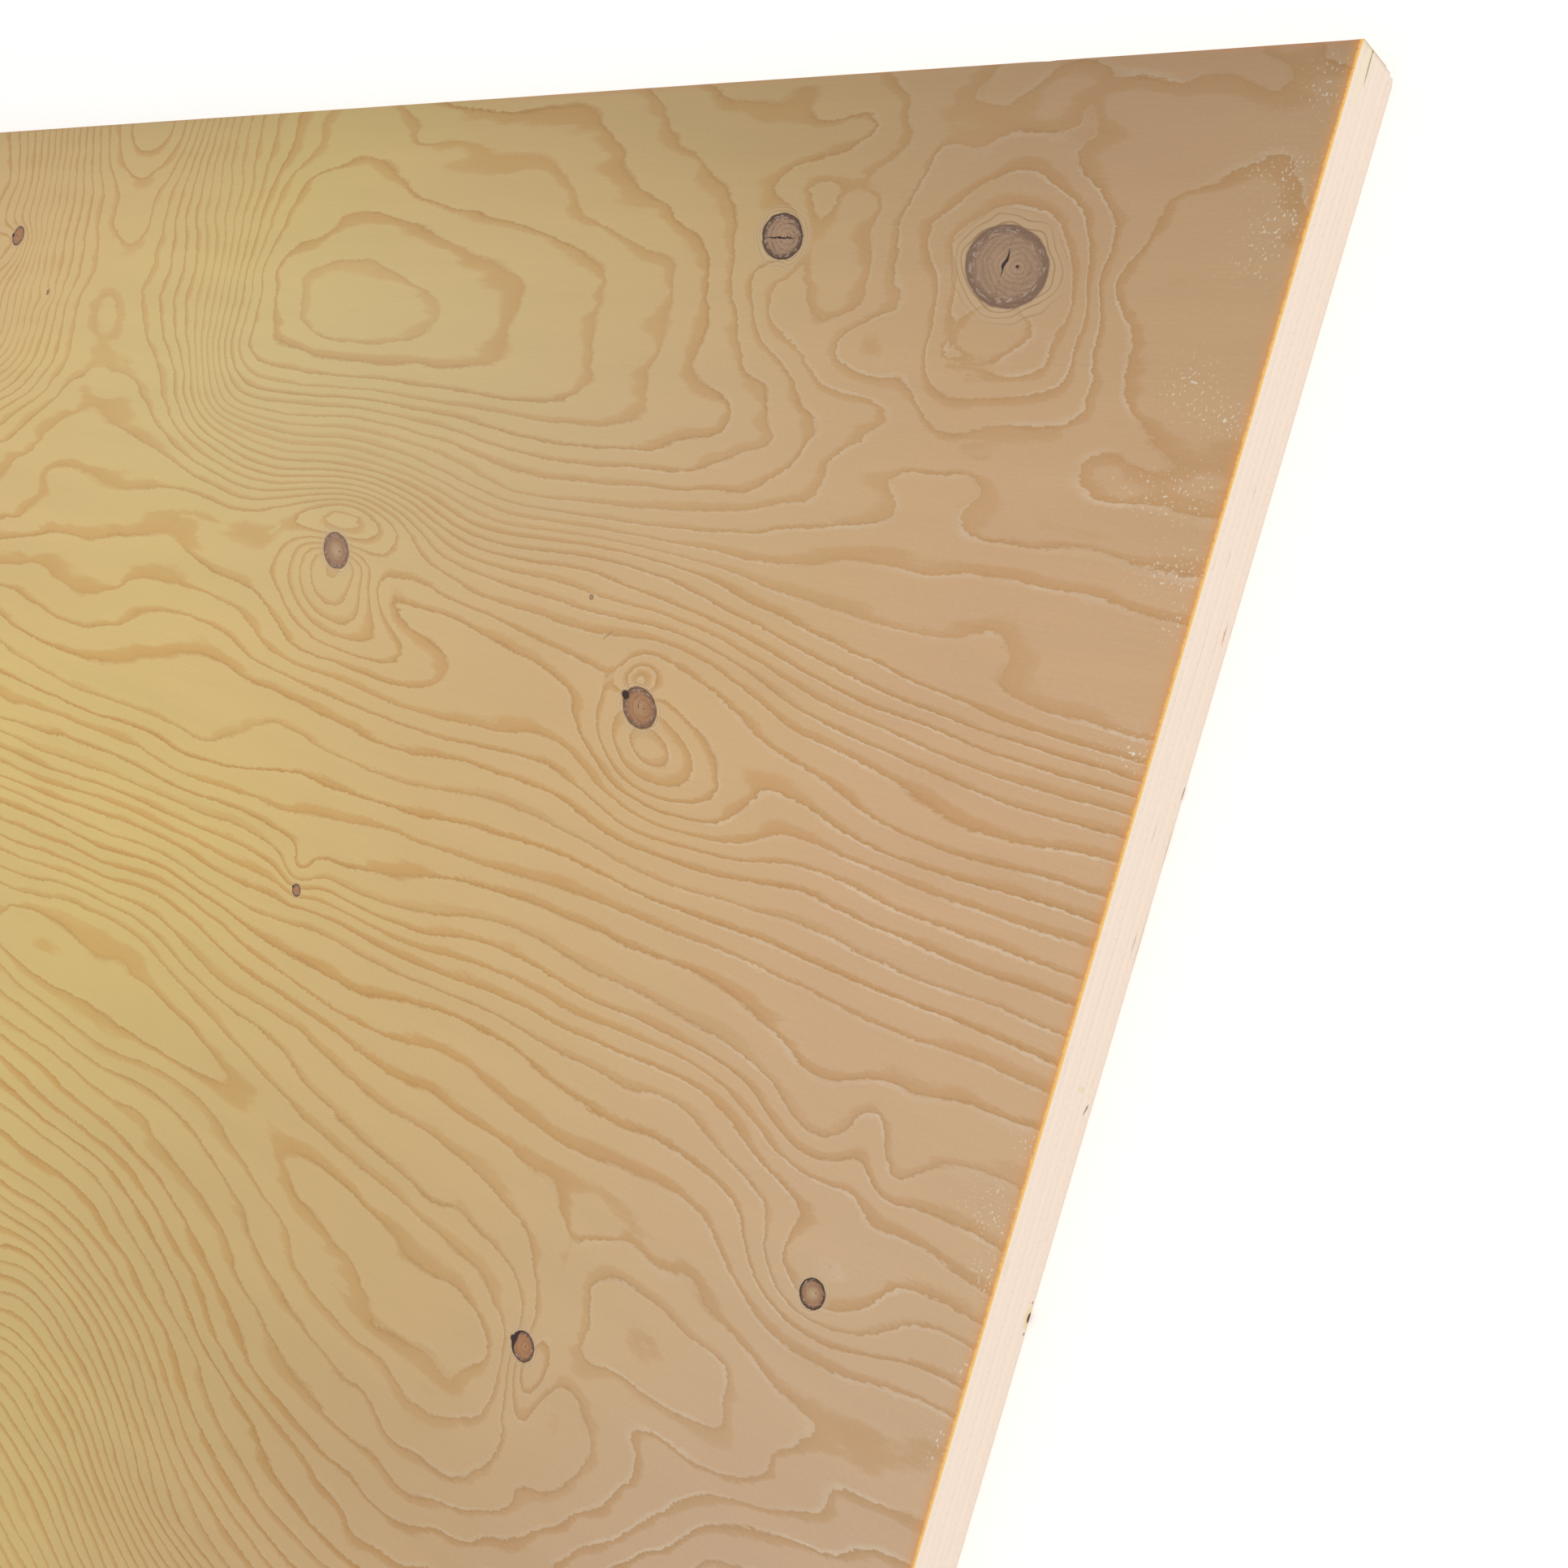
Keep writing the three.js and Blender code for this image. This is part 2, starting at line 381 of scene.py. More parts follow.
# puts points and faces into a mesh piece that rides on the sheet: points n x 3 in metres,
# quads m x 4, others as lists of any length; the last wallQuads of the quads take the second material
def makePiece(name, points, quads, others, replaced, materials, wallQuads=0):
    mesh = bpy.data.meshes.new(name)
    sizes = np.concatenate([np.full(len(quads), 4), np.array([len(f) for f in others], int)])
    corners = np.concatenate([quads.ravel()] + [np.asarray(f, int) for f in others])
    mesh.vertices.add(len(points))
    mesh.vertices.foreach_set("co", points.astype(np.float32).ravel())
    mesh.loops.add(len(corners))
    mesh.loops.foreach_set("vertex_index", corners.astype(np.int32))
    mesh.polygons.add(len(sizes))
    mesh.polygons.foreach_set("loop_start", (np.cumsum(sizes) - sizes).astype(np.int32))
    if wallQuads:
        use = np.zeros(len(sizes), np.int32)
        use[len(quads) - wallQuads:] = 1
        mesh.polygons.foreach_set("material_index", use)
    mesh.update(calc_edges=True)
    mesh.validate()
    piece = bpy.data.objects.new(name, mesh)
    bpy.context.scene.collection.objects.link(piece)
    for material in materials:
        mesh.materials.append(material)
    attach(piece, "root")
    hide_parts(replaced)
    return piece


# gives each vertex one value, or three, that a material reads by name
def setAttribute(piece, name, values):
    single = values.ndim == 1
    layer = piece.data.attributes.new(name, "FLOAT" if single else "FLOAT_VECTOR", "POINT")
    layer.data.foreach_set("value" if single else "vector", values.astype(np.float32).ravel())


# the numbers of a grid's rim vertices, anticlockwise from above, from the -Y corner of the +X end
def rimOf(nl, nw):
    number = np.arange(nl * nw).reshape(nl, nw)
    return np.concatenate([number[0, ::-1], number[1:, 0], number[-1, 1:], number[-2:0:-1, -1]])


# a flat cap over a rim: long quads from edge to edge across the sheet and one polygon at each end
def capOver(rim, nl, nw, up):
    n = len(rim)
    i = np.arange(1, nl - 2)
    plusY = nw - 1 + i
    minusY = n - i
    quads = np.stack([rim[minusY - 1], rim[minusY], rim[plusY], rim[plusY + 1]], 1)
    near = np.concatenate([[n - 1], np.arange(0, nw + 1)])
    far = np.arange(nw + nl - 3, 2 * nw + nl - 2)
    ends = [rim[near], rim[far]]
    return (quads, ends) if up else (quads[:, ::-1], [e[::-1] for e in ends])


# the walls between rims: each quad goes along a rim and up to the next one
def wallsOver(rims):
    low, high = rims[:-1], rims[1:]
    quads = np.stack([low, np.roll(low, -1, 1), np.roll(high, -1, 1), high], -1)
    return quads.reshape(-1, 4)


# pulls what lies outside the arc of a knocked +X, +Y corner back onto it
def knockCorner(l, w, radius):
    if not radius:
        return l, w
    reach = np.hypot(radius - l, radius - w)
    outside = (l < radius) & (w < radius) & (reach > radius)
    pull = np.where(outside, radius / np.maximum(reach, 1e-6), 1)
    return radius - (radius - l) * pull, radius - (radius - w) * pull


# what the saw left on a veneer's walls, in mm
walls = {
    "glueGroove": 0.10,
    "grooveHeight": 0.03,  # as a share of the veneer's thickness, as the next two are
    "rows": np.array([0.0, 0.03, 0.16, 0.36, 0.62, 0.84, 0.97, 1.0]),
    "pitHeight": 0.22,
    "wave": 0.05,
    "pits": 60,
    "pitsOnEnds": 0.35,  # share of them
    "pitSize": (0.8, 2.6),
    "pitDepth": (0.1, 0.5),
}


# how far a wall stands back from the saw line at (l, w) and a share of the veneer's height: slow waves, plus
# a groove at each glue line, plus torn pits of depth times e^-(offset / size)^2, all fading at the corners
def wallRelief(l, w, share, seed):
    draw = np.random.default_rng(seed)
    onEnds = (l <= 0) | (l >= sheet["length"])
    along = np.where(onEnds, w, l) + 3000 * (l <= 0) + 5000 * (w <= 0)
    depth = walls["wave"] * (0.5 + 0.5 * waves(along, share * 3, (60, 5), 1.0, seed, 12).clip(-1, 1))
    groove = np.exp(-share / walls["grooveHeight"]) + np.exp((share - 1) / walls["grooveHeight"])
    depth = depth + walls["glueGroove"] * groove
    for pit in range(walls["pits"]):
        onEnd = draw.random() < walls["pitsOnEnds"]
        size = draw.uniform(*walls["pitSize"])
        at = draw.uniform(10, (sheet["width"] if onEnd else sheet["length"]) - 10)
        far = draw.random() < 0.5
        height = draw.uniform(0, 1)
        deep = draw.uniform(*walls["pitDepth"])
        side = (w if onEnd else l) - at
        limit = (sheet["length"] if onEnd else sheet["width"]) * far
        here = np.abs((l if onEnd else w) - limit) < 1e-6
        upright = (share - height) / walls["pitHeight"]
        depth = depth + here * deep * np.exp(-(side / size) ** 2 - upright ** 2)
    corner = np.minimum(np.minimum(l, sheet["length"] - l) + np.minimum(w, sheet["width"] - w), 4) / 4
    return depth * corner


# moves wall points back from the saw line, at right angles to their side of the sheet
def setBack(l, w, depth):
    lIn = np.where(l <= 0, 1, 0) - np.where(l >= sheet["length"], 1, 0)
    wIn = np.where(w <= 0, 1, 0) - np.where(w >= sheet["width"], 1, 0)
    return l + lIn * depth, w + wIn * depth


# (l, w) in mm and a height in metres to points of the row frame
def place(l, w, z):
    return np.stack([sheet["endX"] - l * mm, sheet["edgeY"] - w * mm, z], -1)


# one inner veneer: rims up its walls and a flat cap over each end of them
def innerVeneer(node, name, material, ls, ws, knock, seed):
    low, high = (corner.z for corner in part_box(node))
    nl, nw = len(ls), len(ws)
    gl, gw = (g.ravel() for g in np.meshgrid(ls, ws, indexing="ij"))
    rim = rimOf(nl, nw)
    l, w = gl[rim][None, :], gw[rim][None, :]
    share = walls["rows"][:, None]
    l, w = setBack(l + 0 * share, w + 0 * share, wallRelief(l + 0 * share, w + 0 * share, share, seed))
    l, w = knockCorner(l, w, knock)
    z = low + (high - low) * (share + 0 * l)
    rims = np.arange(l.size).reshape(l.shape)
    bottom, bottomEnds = capOver(rims[0], nl, nw, False)
    top, topEnds = capOver(rims[-1], nl, nw, True)
    quads = np.concatenate([bottom, top, wallsOver(rims)])
    points = place(l.ravel(), w.ravel(), z.ravel())
    piece = makePiece(name, points, quads, bottomEnds + topEnds, node, [material])
    setAttribute(piece, "plyHeight", ((z - low) / mm).ravel())
    print(name, len(points), "points")


# what the sander left, in mm below a face's highest level
sanding = {
    "dip": 0.05,
    "wave": 0.03,
    "knotDip": 0.02,  # knots are harder, so they stand a little proud
    "rimDip": 0.04,
}


# a sanded veneer: a grid over the whole sheet on the side that shows, walls, and a cap against the glue
def sandedVeneer(node, name, materials, ls, ws, knots, knock, showsUp, seed):
    low, high = (corner.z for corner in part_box(node))
    nl, nw = len(ls), len(ws)
    l, w = np.meshgrid(ls, ws, indexing="ij")
    l, w = gatherAtKnots(l, w, knots)
    rim = rimOf(nl, nw)
    flat = dict(l=l.ravel().copy(), w=w.ravel().copy())
    rimL, rimW = flat["l"][rim], flat["w"][rim]
    share = walls["rows"][:, None]
    wl, ww = rimL + 0 * share, rimW + 0 * share
    wl, ww = setBack(wl, ww, wallRelief(wl, ww, share, seed))
    wl, ww = knockCorner(wl, ww, knock)
    # the rim of the shown side follows the top row of the walls
    flat["l"], flat["w"] = knockCorner(flat["l"], flat["w"], knock)
    flat["l"][rim], flat["w"][rim] = wl[-1], ww[-1]
    thick = (high - low) / mm
    dip = surfaceDip(flat["l"], flat["w"], knots, seed)
    inside = np.ones(nl * nw)
    inside[rim] = 0
    topZ = thick - dip * inside - sanding["rimDip"] * (1 - inside)
    wallZ = thick * share[:-1] + 0 * wl[:-1]
    points = np.concatenate([
        np.stack([flat["l"], flat["w"], topZ], 1),
        np.stack([wl[:-1].ravel(), ww[:-1].ravel(), wallZ.ravel()], 1),
    ])
    number = np.arange(nl * nw).reshape(nl, nw)
    grid = np.stack([number[:-1, :-1], number[1:, :-1], number[1:, 1:], number[:-1, 1:]], -1).reshape(-1, 4)
    rims = np.concatenate([nl * nw + np.arange(wallZ.size).reshape(wallZ.shape), rim[None, :]])
    cap, capEnds = capOver(rims[0], nl, nw, False)
    wallFaces = wallsOver(rims)
    quads = np.concatenate([grid, cap, wallFaces])
    height = points[:, 2].copy()
    if not showsUp:
        points[:, 2] = thick - points[:, 2]
        quads = quads[:, ::-1]
        capEnds = [e[::-1] for e in capEnds]
    xyz = place(points[:, 0], points[:, 1], low + points[:, 2] * mm)
    piece = makePiece(name, xyz, quads, capEnds, node, materials, len(wallFaces))
    setAttribute(piece, "plyHeight", height)
    print(name, len(points), "points", len(quads), "quads")
    return piece, points[:, 0], points[:, 1]


# draws grid points in towards knots: each point's offset shrinks by a share e^-(distance / reach)^2, and
# points at the edges stay
def gatherAtKnots(l, w, knots, share=0.55):
    moveL, moveW = np.zeros_like(l), np.zeros_like(w)
    for knot in knots:
        reach = 1.6 * max(knot["size"]) + 6
        a, c = l - knot["at"][0], w - knot["at"][1]
        fade = share * np.exp(-(a * a + c * c) / reach ** 2)
        moveL -= fade * a
        moveW -= fade * c
    edge = np.minimum(np.minimum(l, sheet["length"] - l), np.minimum(w, sheet["width"] - w))
    hold = np.clip(edge / 12, 0, 1)
    return l + moveL * hold, w + moveW * hold


# a point's place in a knot, in radii: its offset turned by the knot's lean and divided by the two radii
def inRadii(l, w, knot):
    a, c = l - knot["at"][0], w - knot["at"][1]
    lean = math.radians(knot["turn"])
    along = a * math.cos(lean) + c * math.sin(lean)
    across = c * math.cos(lean) - a * math.sin(lean)
    return along / knot["size"][0], across / knot["size"][1]


# how far the sanded surface lies below its highest level: slow waves round the dip, and within 1.05 radii of
# a knot the knot's own dip instead
def surfaceDip(l, w, knots, seed):
    dip = sanding["dip"] + sanding["wave"] * waves(l, w, (70, 18), 1.0, seed + 1, 14).clip(-1.4, 1.4)
    for knot in knots:
        near = soft((1.05 - np.hypot(*inRadii(l, w, knot))) / 0.06)
        dip = dip * (1 - near) + near * sanding["knotDip"]
    return np.clip(dip, 0, None)


# adds one node: inputs by number or name take numbers, colours or what another node gives out; operation is
# what a maths node does, and settings are the node's other choices
def add(tree, kind, inputs=(), operation=None, **settings):
    node = tree.nodes.new("ShaderNode" + kind)
    if operation:
        node.operation = operation
    for key, value in settings.items():
        setattr(node, key, value)
    pairs = inputs.items() if isinstance(inputs, dict) else enumerate(inputs)
    for key, value in pairs:
        if value is None:
            continue
        if isinstance(value, bpy.types.Node):
            value = value.outputs[0]
        if isinstance(value, bpy.types.NodeSocket):
            tree.links.new(value, node.inputs[key])
        else:
            node.inputs[key].default_value = value
    return node


# an empty material: its tree, with a shader that has the given surface values joined to the output
def newMaterial(name, surface):
    material = bpy.data.materials.new(name)
    material.use_nodes = True
    tree = material.node_tree
    tree.nodes.clear()
    shader = add(tree, "BsdfPrincipled", surface)
    add(tree, "OutputMaterial", [shader])
    return material, tree, shader


# Spruce, rotary-peeled and sanded: pale straw earlywood, then an even orange-tan latewood band with a soft
# near side and a sharp, toothed far one, over fine fibre streaks; dull sheen from 120 grit, no finish on it
sandedSpruce = {
    "earlyWarm": "D6BA74",  # straw, away from the +X end
    "earlyRose": "CBA57D",  # pinker, towards the +X end
    "lateWarm": "C9964C",
    "lateRose": "BC8B52",
    "edgeLine": "A0702F",  # the thin last cells of a year
    "pale": "E6DAC2",  # first cells of the next year in their own paler colour, plus a painted highlight on fibre raised by the sander
    "paintedShadeWarm": "B2B6C2",  # painted shade, multiplied in along the +Y edge and in patches
    "paintedShadeRose": "B6B6B4",
    "paintedReflection": "A6A49C",  # a painted grey reflection of the surroundings, laid over the face in two patches
    "paintedArrisGlow": "F7C66C",  # a painted glow along the +X arris
    "paintedArrisFringe": "D98F48",  # and a weaker painted glow further in
    # painted glints on raised fibre:
    "tick": "EFE6D2",
    "reddened": "B47F5D",
    "toothLength": 2.4,  # mm along the grain; torn fibre ends on the bands' sharp side
    "toothWidth": 0.9,
    "bandLength": 52.0,  # mm over which a band swells and shrinks
    "bandWidth": 10.0,
    "streakLength": 22.0,  # tracheids are 0.03 mm across and 3 mm long: drawn coarser so that they show
    "streakWidth": 0.45,
    "fewestRings": 0.018,  # to a millimetre: where rings are wider still, their bands widen no more
    "sharpSide": 0.85,  # where a band ends in its ring, counted from where the ring's luck changes
    "bandShare": (0.05, 0.46),  # of a ring, from shrunken to swollen
    "flankShare": (0.05, 0.16),  # of a ring, over which the band falls off past its sharp side
    "bandTone": (0.38, 0.36),  # the weakest band, and what luck adds
    "lineTone": (0.15, 0.30),
    # torn fibre scatters most of the sheen of a smooth surface
    "surface": {"Roughness": 0.70, "IOR": 1.50, "Specular IOR Level": 0.3},
}

# A softwood knot in the same face: harder end grain, grey-brown or reddish, with a mottled darker rim
knotTones = {
    "greyLight": "A88A6E",
    "greyDark": "775C49",
    "redLight": "B07E54",
    "redDark": "83563A",
    "rimPale": "785D4B",
    "rimDark": "4A3128",
    "fleck": "BBA796",
    "core": "B49C78",
    "outline": "33231C",
    "bark": "35231D",
    "halo": "CFB48E",
    "swirl": "A27A4C",
}


# where the grain lies in stretched units: its two coordinates divided by two lengths in mm
def grainScaled(tree, grain, alongMm, acrossMm):
    return add(tree, "VectorMath", [grain, (1 / alongMm, 1 / acrossMm, 0)], "MULTIPLY")


# one colour laid over another by a share, or multiplied into it
def lay(tree, share, under, over, blend="MIX"):
    under = under if isinstance(under, bpy.types.NodeSocket) else linear(under)
    over = over if isinstance(over, bpy.types.NodeSocket) else linear(over)
    return add(tree, "Mix", {0: share, 6: under, 7: over}, data_type="RGBA", blend_type=blend).outputs[2]


# growth rings: distance in mm before and past each band's sharp side, rings to a millimetre, the ring's own
# luck and the noise of its teeth. A distance is the share of a ring that is left, divided by the rings to a
# millimetre. Teeth and slow drift move the sides, by less of a ring where rings are wide
def ringSides(tree, look, grain):
    ring = add(tree, "Attribute", attribute_name="ringDepth").outputs["Fac"]
    slope = add(tree, "Attribute", attribute_name="ringSlope").outputs["Fac"]
    steep = add(tree, "Math", [slope, look["fewestRings"]], "MAXIMUM")
    toothAt = grainScaled(tree, grain, look["toothLength"], look["toothWidth"])
    tooth = add(tree, "TexNoise", {"Vector": toothAt, "Scale": 1.0, "Detail": 3.0, "Roughness": 0.6})
    toothRings = add(tree, "Math", [steep, 2.2, 0.008], "MULTIPLY_ADD")
    toothRings = add(tree, "Math", [toothRings, 0.3], "MINIMUM")
    drift = add(tree, "TexNoise", {"Vector": grainScaled(tree, grain, 30, 8), "Scale": 1.0, "Detail": 2.0})
    driftRings = add(tree, "Math", [steep, 6.0, 0.06], "MULTIPLY_ADD")
    driftRings = add(tree, "Math", [driftRings, 0.45], "MINIMUM")
    toothSway = add(tree, "Math", [tooth, 0.5], "SUBTRACT")
    driftSway = add(tree, "Math", [drift, 0.5], "SUBTRACT")
    moved = add(tree, "Math", [toothSway, toothRings, ring], "MULTIPLY_ADD")
    moved = add(tree, "Math", [driftSway, driftRings, moved], "MULTIPLY_ADD")
    # a ring is counted from a little past its sharp side, so that both flanks of a band share their luck
    moved = add(tree, "Math", [moved, 1 - look["sharpSide"]], "SUBTRACT")
    luck = add(tree, "TexWhiteNoise", {"W": add(tree, "Math", [moved], "FLOOR")},
               noise_dimensions="1D").outputs["Color"]
    phase = add(tree, "Math", [add(tree, "Math", [moved], "FRACT"), look["sharpSide"]], "SUBTRACT")
    before = add(tree, "Math", [phase, -1.0], "MULTIPLY")
    before = add(tree, "Math", [before, 0.0], "MAXIMUM")
    past = add(tree, "Math", [phase, 0.0], "MAXIMUM")
    before = add(tree, "Math", [before, steep], "DIVIDE")
    past = add(tree, "Math", [past, steep], "DIVIDE")
    return before, past, steep, luck, tooth


# the latewood band: its width is a share of the ring that swells along the grain; its tone climbs for two
# fifths of it, then slower, and falls off past the sharp side. The line is e^(-2.2 times the mm before that
# side), and is left out where rings are wide
def latewood(tree, look, grain, before, past, steep, luck):
    bandLuck, toneLuck, lineLuck = add(tree, "SeparateColor", [luck]).outputs
    bandAt = grainScaled(tree, grain, look["bandLength"], look["bandWidth"])
    swell = add(tree, "TexNoise", {"Vector": bandAt, "Scale": 1.0, "Detail": 2.5})
    thin, swollen = look["bandShare"]
    share = add(tree, "MapRange", {"Value": swell, "From Min": 0.36, "From Max": 0.68, "To Min": thin,
                                   "To Max": swollen})
    spread = add(tree, "Math", [bandLuck, 0.8, 0.5], "MULTIPLY_ADD")
    share = add(tree, "Math", [share, spread], "MULTIPLY")
    band = add(tree, "Math", [share, steep], "DIVIDE")
    band = add(tree, "Math", [band, 0.7], "ADD")
    band = add(tree, "Math", [band, 13.0], "MINIMUM")
    climb = add(tree, "Math", [before, band], "DIVIDE")
    climb = add(tree, "Math", [1.0, climb], "SUBTRACT", use_clamp=True)
    plateau = add(tree, "MapRange", {"Value": climb, "From Min": 0.0, "From Max": 0.42, "To Max": 0.6},
                  interpolation_type="SMOOTHSTEP")
    late = add(tree, "Math", [climb, 0.4, plateau], "MULTIPLY_ADD")
    sharp, blunt = look["flankShare"]
    softer = add(tree, "MapRange", {"Value": swell, "From Min": 0.50, "From Max": 0.72, "To Min": sharp,
                                    "To Max": blunt})
    flank = add(tree, "Math", [softer, steep], "DIVIDE")
    flank = add(tree, "Math", [past, flank], "DIVIDE")
    flank = add(tree, "Math", [1.0, flank], "SUBTRACT", use_clamp=True)
    weakest, gain = look["bandTone"]
    strength = add(tree, "Math", [toneLuck, gain, weakest], "MULTIPLY_ADD")
    late = add(tree, "Math", [late, strength], "MULTIPLY")
    late = add(tree, "Math", [late, flank], "MULTIPLY")
    line = add(tree, "Math", [before, -2.2], "MULTIPLY")
    line = add(tree, "Math", [line], "EXPONENT")
    weakest, gain = look["lineTone"]
    lineShare = add(tree, "Math", [lineLuck, gain, weakest], "MULTIPLY_ADD")
    crisp = add(tree, "MapRange", {"Value": steep, "From Min": 0.02, "From Max": 0.08})
    for share in (lineShare, flank, crisp):
        line = add(tree, "Math", [line, share], "MULTIPLY")
    return late, line


# a knot, in radii u, v from its middle: rings round an off-centre pith, a mottled rim with flecks drawn out
# along it, an outline, a drying crack, bark at one side. Gives its colour and its share of the face
def knotEnd(tree, tones, u, v, radiusNode, here, ragged):
    described = []
    for name in ("knotLook", "knotMarks", "knotCrack"):
        values = add(tree, "Attribute", attribute_name=name).outputs["Vector"]
        described.append(add(tree, "SeparateXYZ", [values]).outputs)
    (tone, rimDark, sizeMm), (bark, core, arcs), (crackU, crackV, crackLong) = described
    radius = add(tree, "Math", [ragged, 0.13, radiusNode], "MULTIPLY_ADD")
    radius = add(tree, "Math", [radius, 0.065], "SUBTRACT")
    pith = add(tree, "CombineXYZ", {"X": add(tree, "Math", [u, 0.22], "ADD"),
                                    "Y": add(tree, "Math", [v, 0.14], "ADD")})
    fromPith = add(tree, "VectorMath", [pith], "LENGTH").outputs["Value"]

    # its own year rings, 2 mm apart, broken into arcs towards the rim
    ringAt = add(tree, "Math", [ragged, 0.30, fromPith], "MULTIPLY_ADD")
    ringAt = add(tree, "Math", [ringAt, sizeMm], "MULTIPLY")
    ringAt = add(tree, "Math", [ringAt, 2 * math.pi / 2.0], "MULTIPLY")
    rings = add(tree, "Math", [ringAt], "SINE")
    direction = add(tree, "VectorMath", [add(tree, "CombineXYZ", {"X": u, "Y": v})], "NORMALIZE")
    roundAt = add(tree, "VectorMath", [direction, (4.5, 4.5, 0)], "MULTIPLY")
    outward = add(tree, "Math", [radiusNode, sizeMm], "MULTIPLY")
    outward = add(tree, "Math", [outward, 1.6], "MULTIPLY")
    roundAt = add(tree, "VectorMath", [roundAt, add(tree, "CombineXYZ", {"Z": outward})], "ADD")
    drawn = add(tree, "TexNoise", {"Vector": roundAt, "Scale": 1.0, "Detail": 2.0})
    spots = add(tree, "CombineXYZ", {"X": add(tree, "Math", [u, sizeMm], "MULTIPLY"),
                                     "Y": add(tree, "Math", [v, sizeMm], "MULTIPLY")})
    spots = add(tree, "TexNoise", {"Vector": spots, "Scale": 1.6, "Detail": 4.0, "Roughness": 0.75})
    depth = add(tree, "Math", [rings, 0.10, -0.02], "MULTIPLY_ADD")
    depth = add(tree, "Math", [radius, 0.50, depth], "MULTIPLY_ADD")
    depth = add(tree, "Math", [drawn, 0.7, depth], "MULTIPLY_ADD")
    depth = add(tree, "Math", [spots, 1.0, depth], "MULTIPLY_ADD")
    depth = add(tree, "Math", [depth, 0.72], "SUBTRACT", use_clamp=True)
    grey = lay(tree, depth, tones["greyLight"], tones["greyDark"])
    red = lay(tree, depth, tones["redLight"], tones["redDark"])
    body = lay(tree, tone, grey, red)
    paleCore = add(tree, "MapRange", {"Value": radius, "From Min": 0.55, "From Max": 0.15})
    paleCore = add(tree, "Math", [paleCore, core], "MULTIPLY")
    body = lay(tree, paleCore, body, tones["core"])

    # rim, its flecks and the outline
    rim = add(tree, "Math", [spots, 0.35, radius], "MULTIPLY_ADD")
    rim = add(tree, "MapRange", {"Value": rim, "From Min": 0.86, "From Max": 1.06},
              interpolation_type="SMOOTHSTEP")
    rimShare = add(tree, "Math", [rimDark, 0.30, 0.60], "MULTIPLY_ADD")
    rim = add(tree, "Math", [rim, rimShare], "MULTIPLY")
    body = lay(tree, rim, body, lay(tree, rimDark, tones["rimPale"], tones["rimDark"]))
    fleck = add(tree, "MapRange", {"Value": drawn, "From Min": 0.54, "From Max": 0.62})
    fleckAt = add(tree, "MapRange", {"Value": radius, "From Min": 0.60, "From Max": 0.80})
    fleckOut = add(tree, "MapRange", {"Value": radius, "From Min": 0.97, "From Max": 0.88})
    for share in (fleckAt, fleckOut, 0.55):
        fleck = add(tree, "Math", [fleck, share], "MULTIPLY")
    body = lay(tree, fleck, body, tones["fleck"])
    outline = add(tree, "MapRange", {"Value": radius, "From Min": 0.90, "From Max": 0.97})
    outlineShare = add(tree, "Math", [rimDark, 1.05, -0.22], "MULTIPLY_ADD", use_clamp=True)
    outline = add(tree, "Math", [outline, outlineShare], "MULTIPLY")
    body = lay(tree, outline, body, tones["outline"])

    # crack: a wavy line through the knot's middle; arcs: ring lines opened by drying; then the pith
    across = add(tree, "Math", [u, crackU], "MULTIPLY")
    across = add(tree, "Math", [v, crackV, across], "MULTIPLY_ADD")
    across = add(tree, "Math", [ragged, 0.22, across], "MULTIPLY_ADD")
    across = add(tree, "Math", [across, 0.17], "SUBTRACT")
    across = add(tree, "Math", [across], "ABSOLUTE")
    along = add(tree, "Math", [u, crackV], "MULTIPLY")
    alongV = add(tree, "Math", [v, crackU], "MULTIPLY")
    along = add(tree, "Math", [alongV, along], "SUBTRACT")
    along = add(tree, "Math", [along, 0.08], "ADD")
    along = add(tree, "Math", [along], "ABSOLUTE")
    left = add(tree, "Math", [crackLong, along], "SUBTRACT")
    width = add(tree, "MapRange", {"Value": left, "From Min": 0.0, "From Max": 0.3, "To Min": 0.0,
                                   "To Max": 0.034})
    crack = add(tree, "Math", [across, width], "SUBTRACT")
    crack = add(tree, "MapRange", {"Value": crack, "From Min": 0.008, "From Max": -0.006})
    arc = add(tree, "MapRange", {"Value": rings, "From Min": 0.82, "From Max": 0.97})
    arcHere = add(tree, "MapRange", {"Value": drawn, "From Min": 0.47, "From Max": 0.40})
    arcIn = add(tree, "MapRange", {"Value": radius, "From Min": 0.80, "From Max": 0.65})
    for share in (arcHere, arcIn, arcs):
        arc = add(tree, "Math", [arc, share], "MULTIPLY")
    heart = add(tree, "MapRange", {"Value": fromPith, "From Min": 0.055, "From Max": 0.025})
    crack = add(tree, "Math", [crack, heart], "MAXIMUM")
    crack = add(tree, "Math", [crack, arc], "MAXIMUM")

